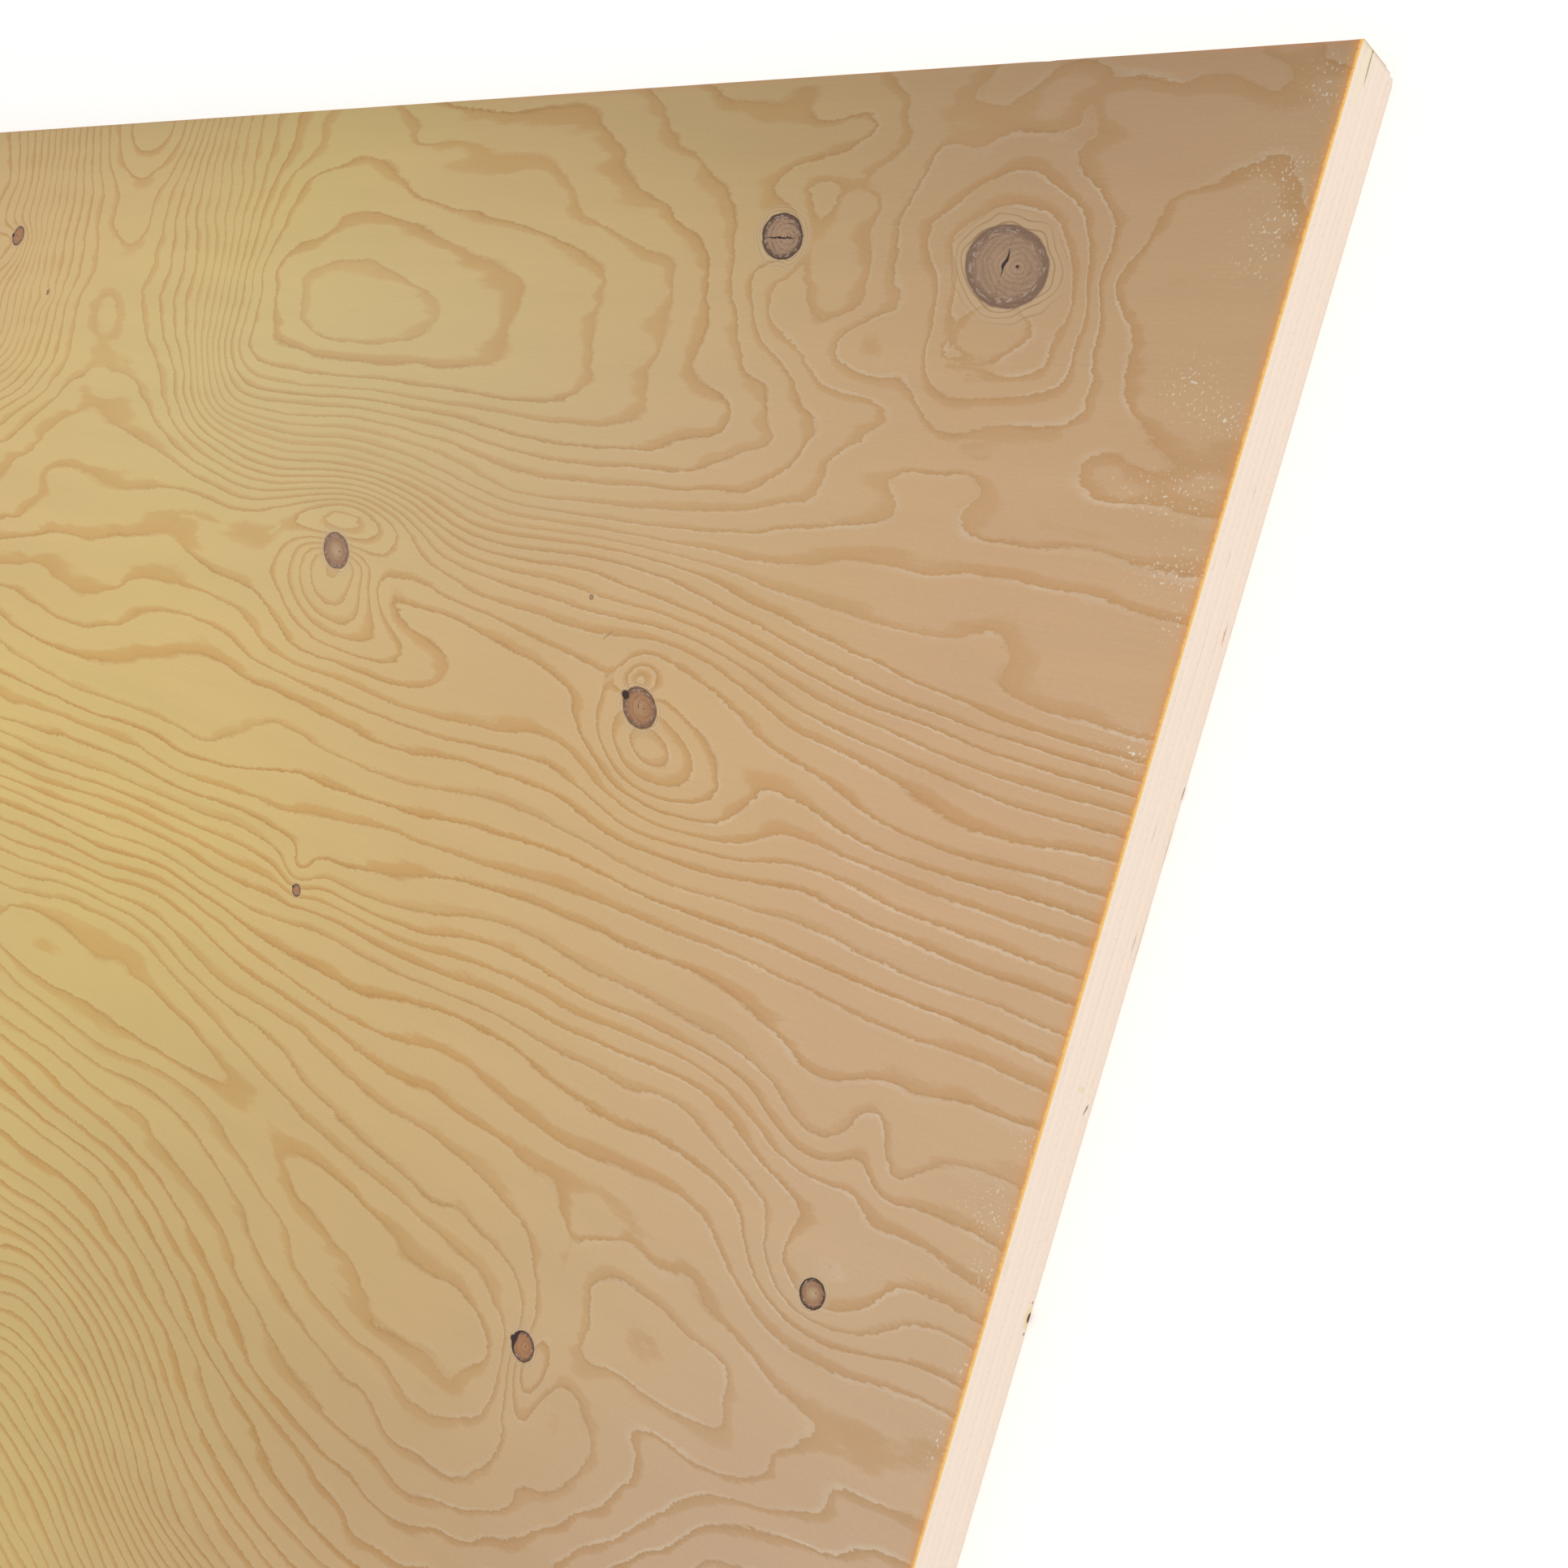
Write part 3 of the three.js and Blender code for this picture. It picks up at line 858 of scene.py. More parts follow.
    # bark: a crescent inside the rim towards +u, and for redder knots a round pocket on it
    aside = add(tree, "Math", [radiusNode, 0.05], "MAXIMUM")
    aside = add(tree, "Math", [u, aside], "DIVIDE")
    aside = add(tree, "Math", [aside, 0.0], "MAXIMUM")
    aside = add(tree, "Math", [aside, 2.0], "POWER")
    aside = add(tree, "Math", [aside, bark], "MULTIPLY")
    crescent = add(tree, "Math", [radius, aside], "ADD")
    crescent = add(tree, "MapRange", {"Value": crescent, "From Min": 0.98, "From Max": 1.08})
    pocket = add(tree, "CombineXYZ", {"X": add(tree, "Math", [u, -0.95], "ADD"),
                                      "Y": add(tree, "Math", [v, -0.08], "ADD")})
    pocket = add(tree, "VectorMath", [pocket], "LENGTH").outputs["Value"]
    pocket = add(tree, "MapRange", {"Value": pocket, "From Min": 0.27, "From Max": 0.19})
    reddish = add(tree, "Math", [tone, 0.7], "GREATER_THAN")
    pocket = add(tree, "Math", [pocket, reddish], "MULTIPLY")
    barked = add(tree, "Math", [bark, 0.02], "GREATER_THAN")
    crescent = add(tree, "Math", [crescent, barked], "MULTIPLY")
    dark = add(tree, "Math", [crack, pocket], "MAXIMUM")
    dark = add(tree, "Math", [dark, crescent], "MAXIMUM")
    body = lay(tree, dark, body, tones["bark"])
    inKnot = add(tree, "MapRange", {"Value": radius, "From Min": 1.025, "From Max": 0.975})
    inKnot = add(tree, "Math", [inKnot, pocket], "MAXIMUM")
    inKnot = add(tree, "Math", [inKnot, here], "MULTIPLY")
    return body, inKnot


# the sanded face: wood by ring, then pale cells with painted highlights, streaks, painted glints on raised
# fibre, knots, painted shade and a painted grey reflection, the reddish +Y arris and a painted glow at the +X
# arris, each laid over what is there by its own share
def sandedSpruceMaterial(name, look, tones):
    material, tree, shader = newMaterial(name, look["surface"])
    grain = add(tree, "Attribute", attribute_name="grainFlow").outputs["Vector"]
    tint = add(tree, "Attribute", attribute_name="tint").outputs["Vector"]
    rose, paintedShade, paintedReflection = add(tree, "SeparateXYZ", [tint]).outputs
    fromEnd, fromEdge, clustered = add(tree, "SeparateXYZ", [grain]).outputs
    seed = add(tree, "Attribute", attribute_name="knotSeed").outputs["Fac"]
    before, past, steep, luck, tooth = ringSides(tree, look, grain)
    late, line = latewood(tree, look, grain, before, past, steep, luck)

    # earlywood and latewood, each from straw to rose along the sheet
    early = lay(tree, rose, look["earlyWarm"], look["earlyRose"])
    wood = lay(tree, late, early, lay(tree, rose, look["lateWarm"], look["lateRose"]))
    wood = lay(tree, line, wood, look["edgeLine"])

    # pale first cells past the sharp side, partly their own paler colour and partly a painted highlight on
    # fibre raised by the sander, stronger in patches
    patch = add(tree, "TexNoise", {"Vector": grainScaled(tree, grain, 34, 26), "Scale": 1.0, "Detail": 2.0})
    rough = add(tree, "MapRange", {"Value": patch, "From Min": 0.36, "From Max": 0.58})
    towardsEnd = add(tree, "MapRange", {"Value": rose, "From Min": 0.55, "From Max": 1.0})
    glintPatches = add(tree, "Math", [rough, towardsEnd], "MULTIPLY")
    first = add(tree, "Math", [past, -1.3], "MULTIPLY")
    first = add(tree, "Math", [first], "EXPONENT")
    starts = add(tree, "MapRange", {"Value": past, "From Min": 0.05, "From Max": 0.4})
    firstShare = add(tree, "Math", [glintPatches, 0.55, 0.06], "MULTIPLY_ADD")
    first = add(tree, "Math", [first, firstShare], "MULTIPLY")
    first = add(tree, "Math", [first, starts], "MULTIPLY")
    wood = lay(tree, first, wood, look["pale"])

    # fibre streaks, wider bands of slightly darker wood, and the mealy unevenness of the earlywood
    streakAt = grainScaled(tree, grain, look["streakLength"], look["streakWidth"])
    streak = add(tree, "TexNoise", {"Vector": streakAt, "Scale": 1.0, "Detail": 4.0, "Roughness": 0.65})
    wide = add(tree, "TexNoise", {"Vector": grainScaled(tree, grain, 160, 14), "Scale": 1.0, "Detail": 2.0})
    mealy = add(tree, "TexNoise", {"Vector": grainScaled(tree, grain, 1.6, 0.8), "Scale": 1.0, "Detail": 2.0})
    tone = add(tree, "Math", [streak, 0.12, 0.84], "MULTIPLY_ADD")
    tone = add(tree, "Math", [mealy, 0.08, tone], "MULTIPLY_ADD")
    tone = add(tree, "Math", [wide, 0.12, tone], "MULTIPLY_ADD")
    wood = add(tree, "VectorMath", {0: wood, "Scale": tone}, "SCALE").outputs[0]

    # painted glints on raised fibre, in clusters along the +X arris and thinly elsewhere
    tickAt = grainScaled(tree, grain, 0.80, 1.05)
    tick = add(tree, "TexNoise", {"Vector": tickAt, "Scale": 1.0, "Detail": 1.0})
    tick = add(tree, "Math", [clustered, 0.04, tick], "MULTIPLY_ADD")
    tick = add(tree, "MapRange", {"Value": tick, "From Min": 0.66, "From Max": 0.71})
    ticks = add(tree, "Math", [clustered, 0.75], "MULTIPLY")
    ticks = add(tree, "Math", [glintPatches, 0.08, ticks], "MULTIPLY_ADD", use_clamp=True)
    ticks = add(tree, "Math", [ticks, tick], "MULTIPLY")
    wood = lay(tree, ticks, wood, look["tick"])

    # the knot's collar: paler, with thin lines that wind round it; then the knot
    knot = add(tree, "Attribute", attribute_name="knotSpace").outputs["Vector"]
    u, v, near = add(tree, "SeparateXYZ", [knot]).outputs
    here = add(tree, "Math", [near, 0.98], "GREATER_THAN")
    offset = add(tree, "CombineXYZ", {"X": u, "Y": v})
    radius = add(tree, "VectorMath", [offset], "LENGTH").outputs["Value"]
    seat = add(tree, "CombineXYZ", {"X": u, "Y": v, "Z": seed})
    ragged = add(tree, "TexNoise", {"Vector": seat, "Scale": 2.2, "Detail": 3.0, "Roughness": 0.6})
    winding = add(tree, "TexNoise", {"Vector": seat, "Scale": 0.9, "Detail": 1.0})
    collar = add(tree, "MapRange", {"Value": radius, "From Min": 1.6, "From Max": 1.0},
                 interpolation_type="SMOOTHSTEP")
    collar = add(tree, "Math", [collar, here], "MULTIPLY")
    swirl = add(tree, "Math", [winding, 0.75, radius], "MULTIPLY_ADD")
    swirl = add(tree, "Math", [swirl, 36.0], "MULTIPLY")
    swirl = add(tree, "Math", [swirl], "SINE")
    swirl = add(tree, "MapRange", {"Value": swirl, "From Min": 0.66, "From Max": 1.0})
    swirl = add(tree, "Math", [swirl, collar], "MULTIPLY")
    swirl = add(tree, "Math", [swirl, 0.8], "MULTIPLY")
    collar = add(tree, "Math", [collar, 0.45], "MULTIPLY")
    wood = lay(tree, collar, wood, tones["halo"])
    wood = lay(tree, swirl, wood, tones["swirl"])

    # painted shade along the +Y edge and in patches, and a painted grey reflection; then the knot
    wood = lay(tree, paintedShade, wood, lay(tree, rose, look["paintedShadeWarm"], look["paintedShadeRose"]), "MULTIPLY")
    wood = lay(tree, paintedReflection, wood, look["paintedReflection"])
    body, inKnot = knotEnd(tree, tones, u, v, radius, here, ragged)
    colour = lay(tree, inKnot, wood, body)

    # the reddish +Y arris, and a painted glow along the +X arris
    edge = add(tree, "MapRange", {"Value": fromEdge, "From Min": 2.0, "From Max": 0.5})
    edge = add(tree, "Math", [edge, rose], "MULTIPLY")
    edge = add(tree, "Math", [edge, 0.6], "MULTIPLY")
    colour = lay(tree, edge, colour, look["reddened"])
    inward = add(tree, "Math", [tooth, 1.3, fromEnd], "MULTIPLY_ADD")
    paintedArrisFringe = add(tree, "MapRange", {"Value": inward, "From Min": 5.0, "From Max": 0.6})
    paintedArrisFringe = add(tree, "Math", [paintedArrisFringe, 2.0], "POWER")
    paintedArrisFringe = add(tree, "Math", [paintedArrisFringe, 0.9], "MULTIPLY")
    colour = lay(tree, paintedArrisFringe, colour, look["paintedArrisFringe"])
    paintedGlow = add(tree, "MapRange", {"Value": inward, "From Min": 1.9, "From Max": 1.0},
               interpolation_type="SMOOTHSTEP")
    paintedGlow = add(tree, "Math", [paintedGlow, 0.9], "MULTIPLY")
    colour = lay(tree, paintedGlow, colour, look["paintedArrisGlow"])
    tree.links.new(colour, shader.inputs["Base Color"])

    # relief: fibre streaks 0.05 mm deep, and latewood 0.05 mm proud of the softer wood
    height = add(tree, "Math", [late, 0.05], "MULTIPLY")
    height = add(tree, "Math", [streak, 0.05, height], "MULTIPLY_ADD")
    bump = add(tree, "Bump", {"Height": height, "Distance": mm, "Strength": 0.8})
    tree.links.new(bump.outputs[0], shader.inputs["Normal"])
    return material


# Spruce sawn through with a circular saw: paler than the sanded face, thin ring lines and lathe checks
# where the cut crosses the grain, long fibre streaks where it runs along it, and a dark film of glue
sawnSpruce = {
    "pale": "F4E0C8",
    "paintedLitEnd": "F7E4D3",  # the +X end, painted paler as if washed out by strong light
    "ringLine": "D9B98F",
    "endGrain": "DFC29C",
    "glue": "8A5A3A",
    "sawPitch": 1.7,  # mm between the marks of the saw's teeth
    "plyMiddle": 1.32,  # mm up an inner veneer
    "litEndContrast": 0.04,  # how much of the plies' contrast is left on the +X end, where painted light washes it out
    "surface": {"Roughness": 0.8, "IOR": 1.5},
}

# marks on the +X end: mm from the +Y corner and up, half length and half width, turn in degrees, colour and
# share
endMarks = [
    ((3.0, 14.7), (14.0, 2.2), 0, "F5E4C9", 0.8),  # resin-yellow wood at the corner
    ((3.6, 12.62), (5.6, 0.34), -3, "A79B6F", 0.9),  # glue line that the blade opened
    ((0.2, 12.8), (0.5, 0.4), 0, "4A3A22", 0.9),
    ((173.5, 0.4), (2.0, 0.4), 0, "B08A62", 0.9),  # dents along the lower arris
    ((186.0, 0.3), (5.0, 0.3), 0, "CDAA7D", 0.6),
    ((209.0, 0.3), (8.0, 0.3), 0, "D4B48A", 0.5),
    ((245.5, 6.9), (0.9, 1.9), 10, "EBDDB9", 0.8),  # smudge
    ((250.1, 2.4), (1.7, 0.38), 24, "8F7355", 0.9),  # splinter pulled out
    ((300.3, 0.8), (3.2, 1.7), 0, "E8CE86", 0.5),  # chip and the bruised fibre round it
    ((300.3, 0.5), (1.5, 0.8), 0, "5A2A10", 1.0),
    ((296.6, 0.8), (0.5, 0.4), 0, "8C7A48", 0.8),
    ((304.2, 0.7), (0.5, 0.4), 0, "8C7A48", 0.8),
    ((0.0, 9.0), (0.35, 40.0), 0, "DDBB7F", 0.8),  # both arrises, rubbed
    ((610.0, 0.0), (2500.0, 0.22), 0, "DDBB7F", 0.5),
]


# a sawn wall: end grain or long grain by the side that the wall faces, with ring lines, lathe checks and the
# glue film laid over it by their shares; the +X end is painted paler with its contrast washed out, as if by
# strong light; then the marks of the +X end
def sawnSpruceMaterial(name, look, grainAlongX, marks):
    material, tree, shader = newMaterial(name, look["surface"])
    at = add(tree, "TexCoord").outputs["Object"]
    parts = add(tree, "SeparateXYZ", [add(tree, "VectorMath", [at, (1000, 1000, 1000)], "MULTIPLY")])
    facing = add(tree, "SeparateXYZ", [add(tree, "NewGeometry").outputs["True Normal"]])
    onEnd = add(tree, "Math", [facing.outputs[0]], "ABSOLUTE")
    onEnd = add(tree, "Math", [onEnd, 0.7], "GREATER_THAN")
    litEnd = add(tree, "Math", [facing.outputs[0], 0.7], "GREATER_THAN")
    height = add(tree, "Attribute", attribute_name="plyHeight").outputs["Fac"]
    along = add(tree, "Mix", {0: onEnd, 2: parts.outputs[0], 3: parts.outputs[1]})
    if grainAlongX:
        across = onEnd
    else:
        across = add(tree, "Math", [1.0, onEnd], "SUBTRACT")

    # ring lines slant slowly through the veneer where the cut crosses the grain
    ringAt = add(tree, "CombineXYZ", {"X": add(tree, "Math", [along, 1 / 46], "MULTIPLY"),
                                      "Y": add(tree, "Math", [height, 0.12], "MULTIPLY")})
    slow = add(tree, "TexNoise", {"Vector": ringAt, "Scale": 1.0, "Detail": 2.0})
    ring = add(tree, "Math", [height, 1 / 1.5], "MULTIPLY")
    ring = add(tree, "Math", [slow, 9.0, ring], "MULTIPLY_ADD")
    ring = add(tree, "Math", [ring], "FRACT")
    ring = add(tree, "MapRange", {"Value": ring, "From Min": 0.55, "From Max": 1.0})
    ring = add(tree, "Math", [ring, 2.0], "POWER")
    streakAt = add(tree, "CombineXYZ", {"X": add(tree, "Math", [along, 1 / 25], "MULTIPLY"),
                                        "Y": add(tree, "Math", [height, 1 / 0.35], "MULTIPLY")})
    streak = add(tree, "TexNoise", {"Vector": streakAt, "Scale": 1.0, "Detail": 3.0})
    grit = add(tree, "TexNoise", {"Vector": at, "Scale": 1500.0, "Detail": 2.0})

    # lathe checks: short slanted cracks every few millimetres on the loose side of the veneer
    check = add(tree, "Math", [height, 0.6, along], "MULTIPLY_ADD")
    check = add(tree, "Math", [check, 1 / 3.1], "MULTIPLY")
    check = add(tree, "Math", [slow, 6.0, check], "MULTIPLY_ADD")
    check = add(tree, "Math", [check], "FRACT")
    check = add(tree, "Math", [check, 0.045], "LESS_THAN")
    loose = add(tree, "MapRange", {"Value": height, "From Min": 1.7, "From Max": 1.2})
    check = add(tree, "Math", [check, loose], "MULTIPLY")
    check = add(tree, "Math", [check, across], "MULTIPLY")

    # the +X end keeps only a small share of the plies' contrast: painted light that washes it out
    contrast = add(tree, "Mix", {0: litEnd, 2: 1.0, 3: look["litEndContrast"]})
    ringShare = add(tree, "Mix", {0: across, 2: 0.30, 3: 0.75})
    ringShare = add(tree, "Math", [ringShare, ring], "MULTIPLY")
    ringShare = add(tree, "Math", [ringShare, contrast], "MULTIPLY")
    endShare = add(tree, "Math", [across, contrast], "MULTIPLY")
    endShare = add(tree, "Math", [endShare, 0.7], "MULTIPLY")
    checkShare = add(tree, "Math", [check, contrast], "MULTIPLY")
    checkShare = add(tree, "Math", [checkShare, 0.6], "MULTIPLY")

    # the glue film: a thin brown line at both sides of an inner veneer and at the glued side of a sanded one
    nearGlue = add(tree, "Math", [height, look["plyMiddle"]], "SUBTRACT")
    nearGlue = add(tree, "Math", [nearGlue], "ABSOLUTE")
    film = add(tree, "MapRange", {"Value": nearGlue, "From Min": 1.22, "From Max": 1.31})
    film = add(tree, "Math", [film, contrast], "MULTIPLY")
    film = add(tree, "Math", [film, 0.55], "MULTIPLY")

    # the +X end in a paler colour: painted light
    wood = lay(tree, litEnd, look["pale"], look["paintedLitEnd"])
    for share, colour in (
        (endShare, "endGrain"),
        (ringShare, "ringLine"),
        (checkShare, "glue"),
        (film, "glue"),
    ):
        wood = lay(tree, share, wood, look[colour])
    toneShare = add(tree, "Mix", {0: litEnd, 2: 0.10, 3: 0.02})
    tone = add(tree, "Math", [streak, 0.5], "SUBTRACT")
    tone = add(tree, "Math", [tone, toneShare, 1.0], "MULTIPLY_ADD")
    wood = add(tree, "VectorMath", {0: wood, "Scale": tone}, "SCALE").outputs[0]

    # marks: ellipses on the +X end, with an edge that fades over their outer third
    fromCorner = add(tree, "Math", [sheet["width"] / 2, parts.outputs[1]], "SUBTRACT")
    for (w, h), (long, wide), turn, colour, share in marks:
        turn = math.radians(turn)
        dw = add(tree, "Math", [fromCorner, w], "SUBTRACT")
        dh = add(tree, "Math", [parts.outputs[2], h], "SUBTRACT")
        run = add(tree, "Math", [dw, math.cos(turn) / long], "MULTIPLY")
        run = add(tree, "Math", [dh, math.sin(turn) / long, run], "MULTIPLY_ADD")
        rise = add(tree, "Math", [dw, -math.sin(turn) / wide], "MULTIPLY")
        rise = add(tree, "Math", [dh, math.cos(turn) / wide, rise], "MULTIPLY_ADD")
        apart = add(tree, "VectorMath", [add(tree, "CombineXYZ", {"X": run, "Y": rise})], "LENGTH")
        inMark = add(tree, "MapRange", {"Value": apart.outputs["Value"], "From Min": 1.0, "From Max": 0.65,
                                        "To Max": share})
        inMark = add(tree, "Math", [inMark, litEnd], "MULTIPLY")
        wood = lay(tree, inMark, wood, colour)
    tree.links.new(wood, shader.inputs["Base Color"])

    # relief: upright saw marks, fibre streaks and grit
    saw = add(tree, "Math", [along, 2 * math.pi / look["sawPitch"]], "MULTIPLY")
    saw = add(tree, "Math", [saw], "SINE")
    relief = add(tree, "Math", [saw, 0.004], "MULTIPLY")
    relief = add(tree, "Math", [streak, 0.03, relief], "MULTIPLY_ADD")
    relief = add(tree, "Math", [grit, 0.04, relief], "MULTIPLY_ADD")
    relief = add(tree, "Math", [check, -0.15, relief], "MULTIPLY_ADD")
    bump = add(tree, "Bump", {"Height": relief, "Distance": mm, "Strength": 0.7})
    tree.links.new(bump.outputs[0], shader.inputs["Normal"])
    return material


# clusters of painted glints on raised fibre on the face near the +X arris: place and reach
fibreGlintPlaces = [
    ((10, 48), (5, 6)), ((4, 41), (4, 3)), ((10, 31), (8, 3)), ((5, 10), (5, 5)), ((19, 82), (5, 4)),
    ((7, 90), (6, 3)), ((14, 108), (9, 4)), ((6, 126), (8, 4)), ((4, 138), (3, 3)), ((4, 168), (6, 3)),
    ((2, 260), (3, 3)), ((6, 277), (6, 4)), ((3, 292), (4, 3)), ((1, 311), (3, 4)), ((2, 331), (3, 5)),
    ((3, 424), (5, 7)), ((5, 538), (6, 9)), ((3, 655), (4, 8)), ((4, 801), (6, 8)), ((4, 1012), (6, 10)),
]


# what the sanded material reads at each point of a side: ring depth; its slope in rings to a millimetre, over
# a step of half of one; places along the grain that flows round the knots, with the clusters of painted
# glints on raised fibre; the slow changes of tone, with the painted shade and the painted grey reflection;
# and the point's place in radii of the nearest knot, with that knot's seed, looks and marks
def describeSide(piece, l, w, knots, onFace, tintOf):
    step = 0.5
    d = ringDepth(l, w, knots, onFace)
    dl = ringDepth(l + step, w, knots, onFace) - d
    dw = ringDepth(l, w + step, knots, onFace) - d
    slope = np.hypot(dl, dw) / step
    u, v = np.full(len(l), 9.0), np.full(len(l), 9.0)
    near = np.zeros(len(l))
    knotLook, knotMarks, knotCrack = np.zeros((3, len(l), 3))
    seed = np.zeros(len(l))
    nearest = np.full(len(l), 1e9)
    for knot in knots:
        along, across = inRadii(l, w, knot)
        apart = np.hypot(l - knot["at"][0], w - knot["at"][1])
        take = (apart < 1.8 * knot["size"][0] + 15) & (apart / knot["size"][0] < nearest)
        nearest = np.where(take, apart / knot["size"][0], nearest)
        u, v = np.where(take, along, u), np.where(take, across, v)
        near = np.where(take, 1.0, near)
        turn = math.radians(knot["crack"][0])
        knotLook[take] = knot["tone"], knot["rim"], knot["size"][0]
        knotMarks[take] = knot["marks"]
        knotCrack[take] = math.cos(turn), math.sin(turn), knot["crack"][1]
        seed[take] = 3.7 * knot["at"][0] % 50
    # where painted glints on raised fibre gather, on the face only
    fibreGlintClusters = sum(hump(l, w, *cluster, 1.0) for cluster in fibreGlintPlaces) * onFace
    described = {
        "ringDepth": d + figure["firstRing"],
        "ringSlope": slope,
        "grainFlow": np.stack([l, grainRound(l, w, knots), np.clip(fibreGlintClusters, 0, 1)], 1),
        "knotSeed": seed,
        "knotSpace": np.stack([u, v, near], 1),
        "tint": np.stack(tintOf(l, w), 1),
        "knotLook": knotLook,
        "knotMarks": knotMarks,
        "knotCrack": knotCrack,
    }
    for name, values in described.items():
        setAttribute(piece, name, values)
    print(piece.name, "figure and", len(knots), "knots described")


# where painted shade darkens the face and where a painted grey reflection lies over it: place, reach, share
paintedShadeHumps = [
    ((290, 470), (150, 120), 0.28),
    ((50, 45), (90, 50), 0.13),
    ((180, 18), (60, 22), 0.10),
    ((80, 425), (140, 25), 0.12),
]
paintedReflectionHumps = [
    ((350, 110), (150, 48), 0.20),
    ((20, 370), (95, 90), 0.20),
]


# tone of the face: straw turns to rose over the last 440 mm, and is in between past l = 620; painted shade
# makes the +Y edge darker and greyer by a share that falls as e^(-w / reach), and the humps add to it; a
# painted grey reflection lies over two patches
def faceTint(l, w):
    rose = np.clip((440 - l) / 380, 0, 1) + 0.07 * waves(l, w, (160, 90), 1.0, 77, 10)
    rose = rose + (0.42 + 0.14 * waves(l, w, (400, 120), 1.0, 78, 12)) * soft((l - 620) / 60)
    reach = np.maximum(78 - 0.08 * l, 30)
    paintedShade = 0.60 * np.exp(-np.maximum(w, 0) / reach) * np.clip(1 - l / 2600, 0.3, 1)
    paintedShade = paintedShade + sum(hump(l, w, *h) for h in paintedShadeHumps)
    paintedReflection = sum(hump(l, w, *h) for h in paintedReflectionHumps)
    return np.clip(rose, 0, 1), np.clip(paintedShade, 0, 1), paintedReflection


# tone of the back: an even mean of straw and rose with slow changes, and hardly any painted shade
def backTint(l, w):
    rose = 0.42 + 0.16 * waves(l, w, (420, 130), 1.0, 87, 12)
    return np.clip(rose, 0, 1), 0.03 + 0 * l, 0 * l


faceFinish = sandedSpruceMaterial("sandedSpruceFace", sandedSpruce, knotTones)
backFinish = sandedSpruceMaterial("sandedSpruceBack", sandedSpruce, knotTones)
crossEdge = sawnSpruceMaterial("sawnSpruceCrossband", sawnSpruce, False, endMarks)
longEdge = sawnSpruceMaterial("sawnSpruceLongBand", sawnSpruce, True, endMarks)
print("materials made")

# mesh spacing in mm: the dense stretch from the +X, +Y corner, the spacing in it and the spacing past it
spacing = {
    "faceAlong": (560, 3.0, 10.8),
    "faceAcross": (480, 3.0, 9.8),
    "back": (20, 2.5, 7.6),
    "bandAlong": (30, 2.5, 4.0),
    "bandAcross": (420, 1.8, 3.5),
}

# radii in mm to which a knock has blunted the +X, +Y corner, as the solids have them
knocked = {"back": 1.6, "lowerCrossband": 0.5}

faceL = graded(sheet["length"], *spacing["faceAlong"])
faceW = graded(sheet["width"], *spacing["faceAcross"])
faceKnots = stemKnots(31, cornerKnots, 0)
face, l, w = sandedVeneer("face_veneer", "faceVeneer", [faceFinish, longEdge],
                          faceL, faceW, faceKnots, 0.0, True, 1)
describeSide(face, l, w, faceKnots, True, faceTint)

backL = graded(sheet["length"], *spacing["back"])
backW = graded(sheet["width"], *spacing["back"])
backKnots = stemKnots(47, [], -120)
back, l, w = sandedVeneer("back_veneer", "backVeneer", [backFinish, longEdge],
                          backL, backW, backKnots, knocked["back"], False, 2)
describeSide(back, l, w, backKnots, False, backTint)

bandL = graded(sheet["length"], *spacing["bandAlong"])
bandW = graded(sheet["width"], *spacing["bandAcross"])
for number, (node, name) in enumerate([
    ("lower_crossband", "lowerCrossband"),
    ("lower_long_band", "lowerLongBand"),
    ("centre_crossband", "centreCrossband"),
    ("upper_long_band", "upperLongBand"),
    ("upper_crossband", "upperCrossband"),
]):
    crosswise = "cross" in node
    innerVeneer(node, name,
                crossEdge if crosswise else longEdge, bandL, bandW, knocked.get(name, 0.0), 10 + number)


# The floor, the light and the camera
studio = {
    "floorSize": 12.0,
    "floor": "FCFCFB",
    "floorLift": 0.07,
    "worldLevel": 0.82,
    "softbox": dict(at=(2.6, 1.3, 3.4), aim=(0.9, 0.3, 0), side=1.8, power=31),  # over the shown corner
    "camera": (1.42888, 0.41254, 0.37153),
    "right": (0.71848, 0.28197, -0.63583),  # the picture's own right and up, in the sheet's axes
    "up": (-0.21116, 0.95942, 0.18687),
    "lens": 41.2,
}

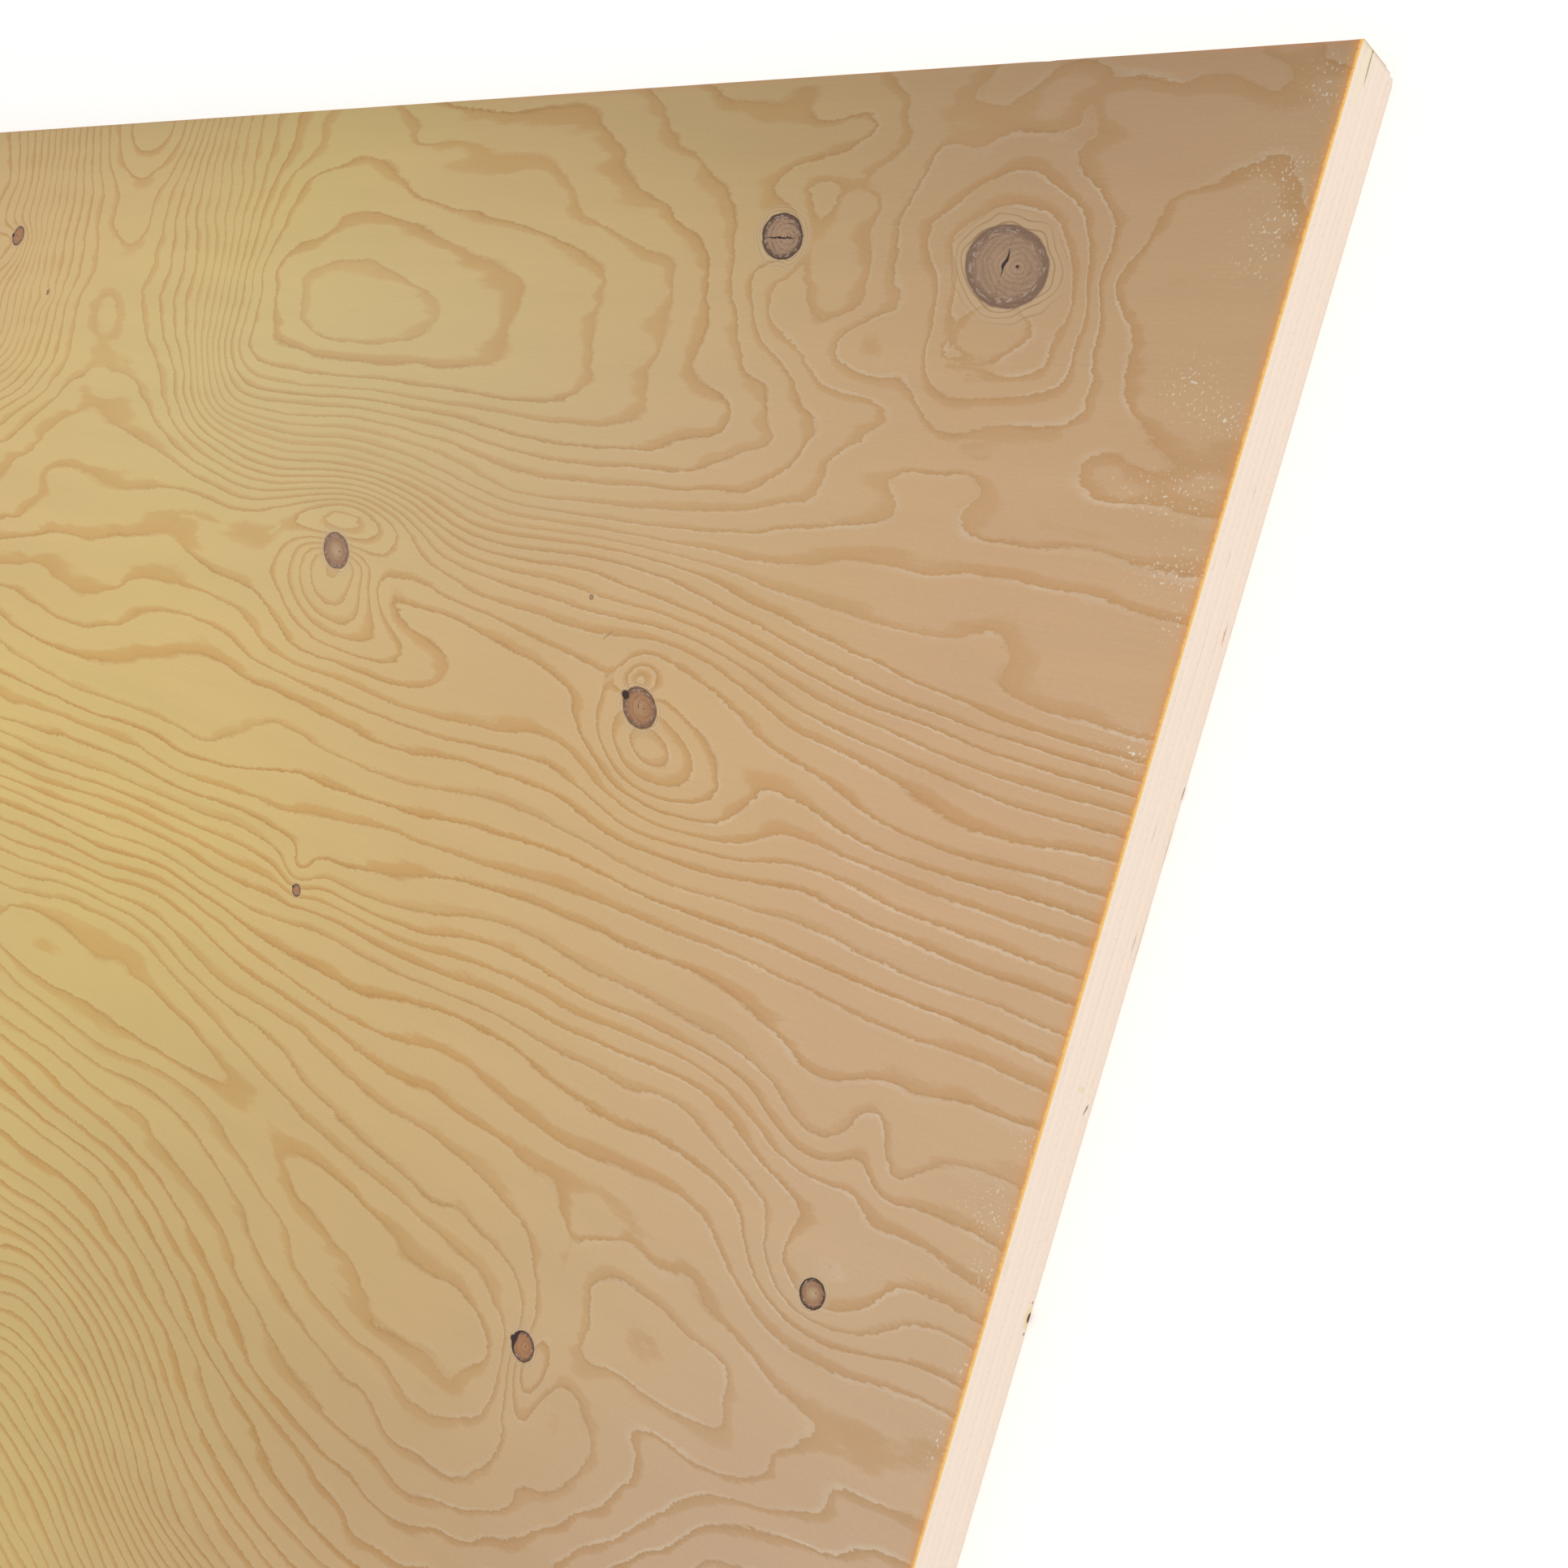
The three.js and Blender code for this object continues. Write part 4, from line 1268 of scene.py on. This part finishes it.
half = studio["floorSize"] / 2
floorMesh = bpy.data.meshes.new("floor")
floorCorners = [(-half, -half, 0), (half, -half, 0), (half, half, 0), (-half, half, 0)]
floorMesh.from_pydata(floorCorners, [], [(0, 1, 2, 3)])
floor = bpy.data.objects.new("floor", floorMesh)
bpy.context.scene.collection.objects.link(floor)
floorLook = {"Base Color": linear(studio["floor"]), "Roughness": 0.9, "Emission Color": (1, 1, 1, 1)}
floorPaint, floorTree, floorShader = newMaterial("mattWhiteFloor", floorLook)
# the picture's white: a little light of its own that only the camera sees; the sheet's shadow stays
floorSeen = add(floorTree, "LightPath").outputs["Is Camera Ray"]
floorLift = add(floorTree, "Math", [floorSeen, studio["floorLift"]], "MULTIPLY")
floorTree.links.new(floorLift.outputs[0], floorShader.inputs["Emission Strength"])
floorMesh.materials.append(floorPaint)

world = bpy.data.worlds.new("studio")
bpy.context.scene.world = world
world.use_nodes = True
air = world.node_tree
air.nodes.clear()
seen = add(air, "LightPath")
rays = [seen.outputs["Is Camera Ray"], seen.outputs["Is Glossy Ray"]]
direct = add(air, "Math", rays, "ADD", use_clamp=True)
level = add(air, "Mix", {0: direct, 2: studio["worldLevel"], 3: 1.0})
sky = add(air, "Background", {"Color": (1, 1, 1, 1), "Strength": level})
add(air, "OutputWorld", [sky])


# puts an object at a place, its own x, y and z along three axes: the axes are its matrix's columns
def stand(thing, axes, at):
    rows = [(*row, at[i]) for i, row in enumerate(np.stack(axes, 1).tolist())]
    thing.matrix_world = Matrix(rows + [(0, 0, 0, 1)])


# a square softbox of some side and power, whose back is turned away from the point that it aims at
def softbox(name, at, aim, side, power):
    data = bpy.data.lights.new(name, "AREA")
    data.size = side
    data.energy = power
    lamp = bpy.data.objects.new(name, data)
    bpy.context.scene.collection.objects.link(lamp)
    back = np.array(at, float) - np.array(aim, float)
    back /= np.linalg.norm(back)
    across = np.cross((0, 0, 1), back)
    across /= np.linalg.norm(across)
    stand(lamp, [across, np.cross(back, across), back], at)


softbox("keySoftbox", **studio["softbox"])

cameraData = bpy.data.cameras.new("camera")
cameraData.lens = studio["lens"]
cameraData.sensor_width = 36
cameraData.clip_start = 0.01
camera = bpy.data.objects.new("camera", cameraData)
bpy.context.scene.collection.objects.link(camera)
stand(camera, [studio["right"], studio["up"], np.cross(studio["right"], studio["up"])], studio["camera"])
bpy.context.scene.camera = camera
bpy.context.scene.view_settings.view_transform = "Standard"
print("floor, light and camera placed")
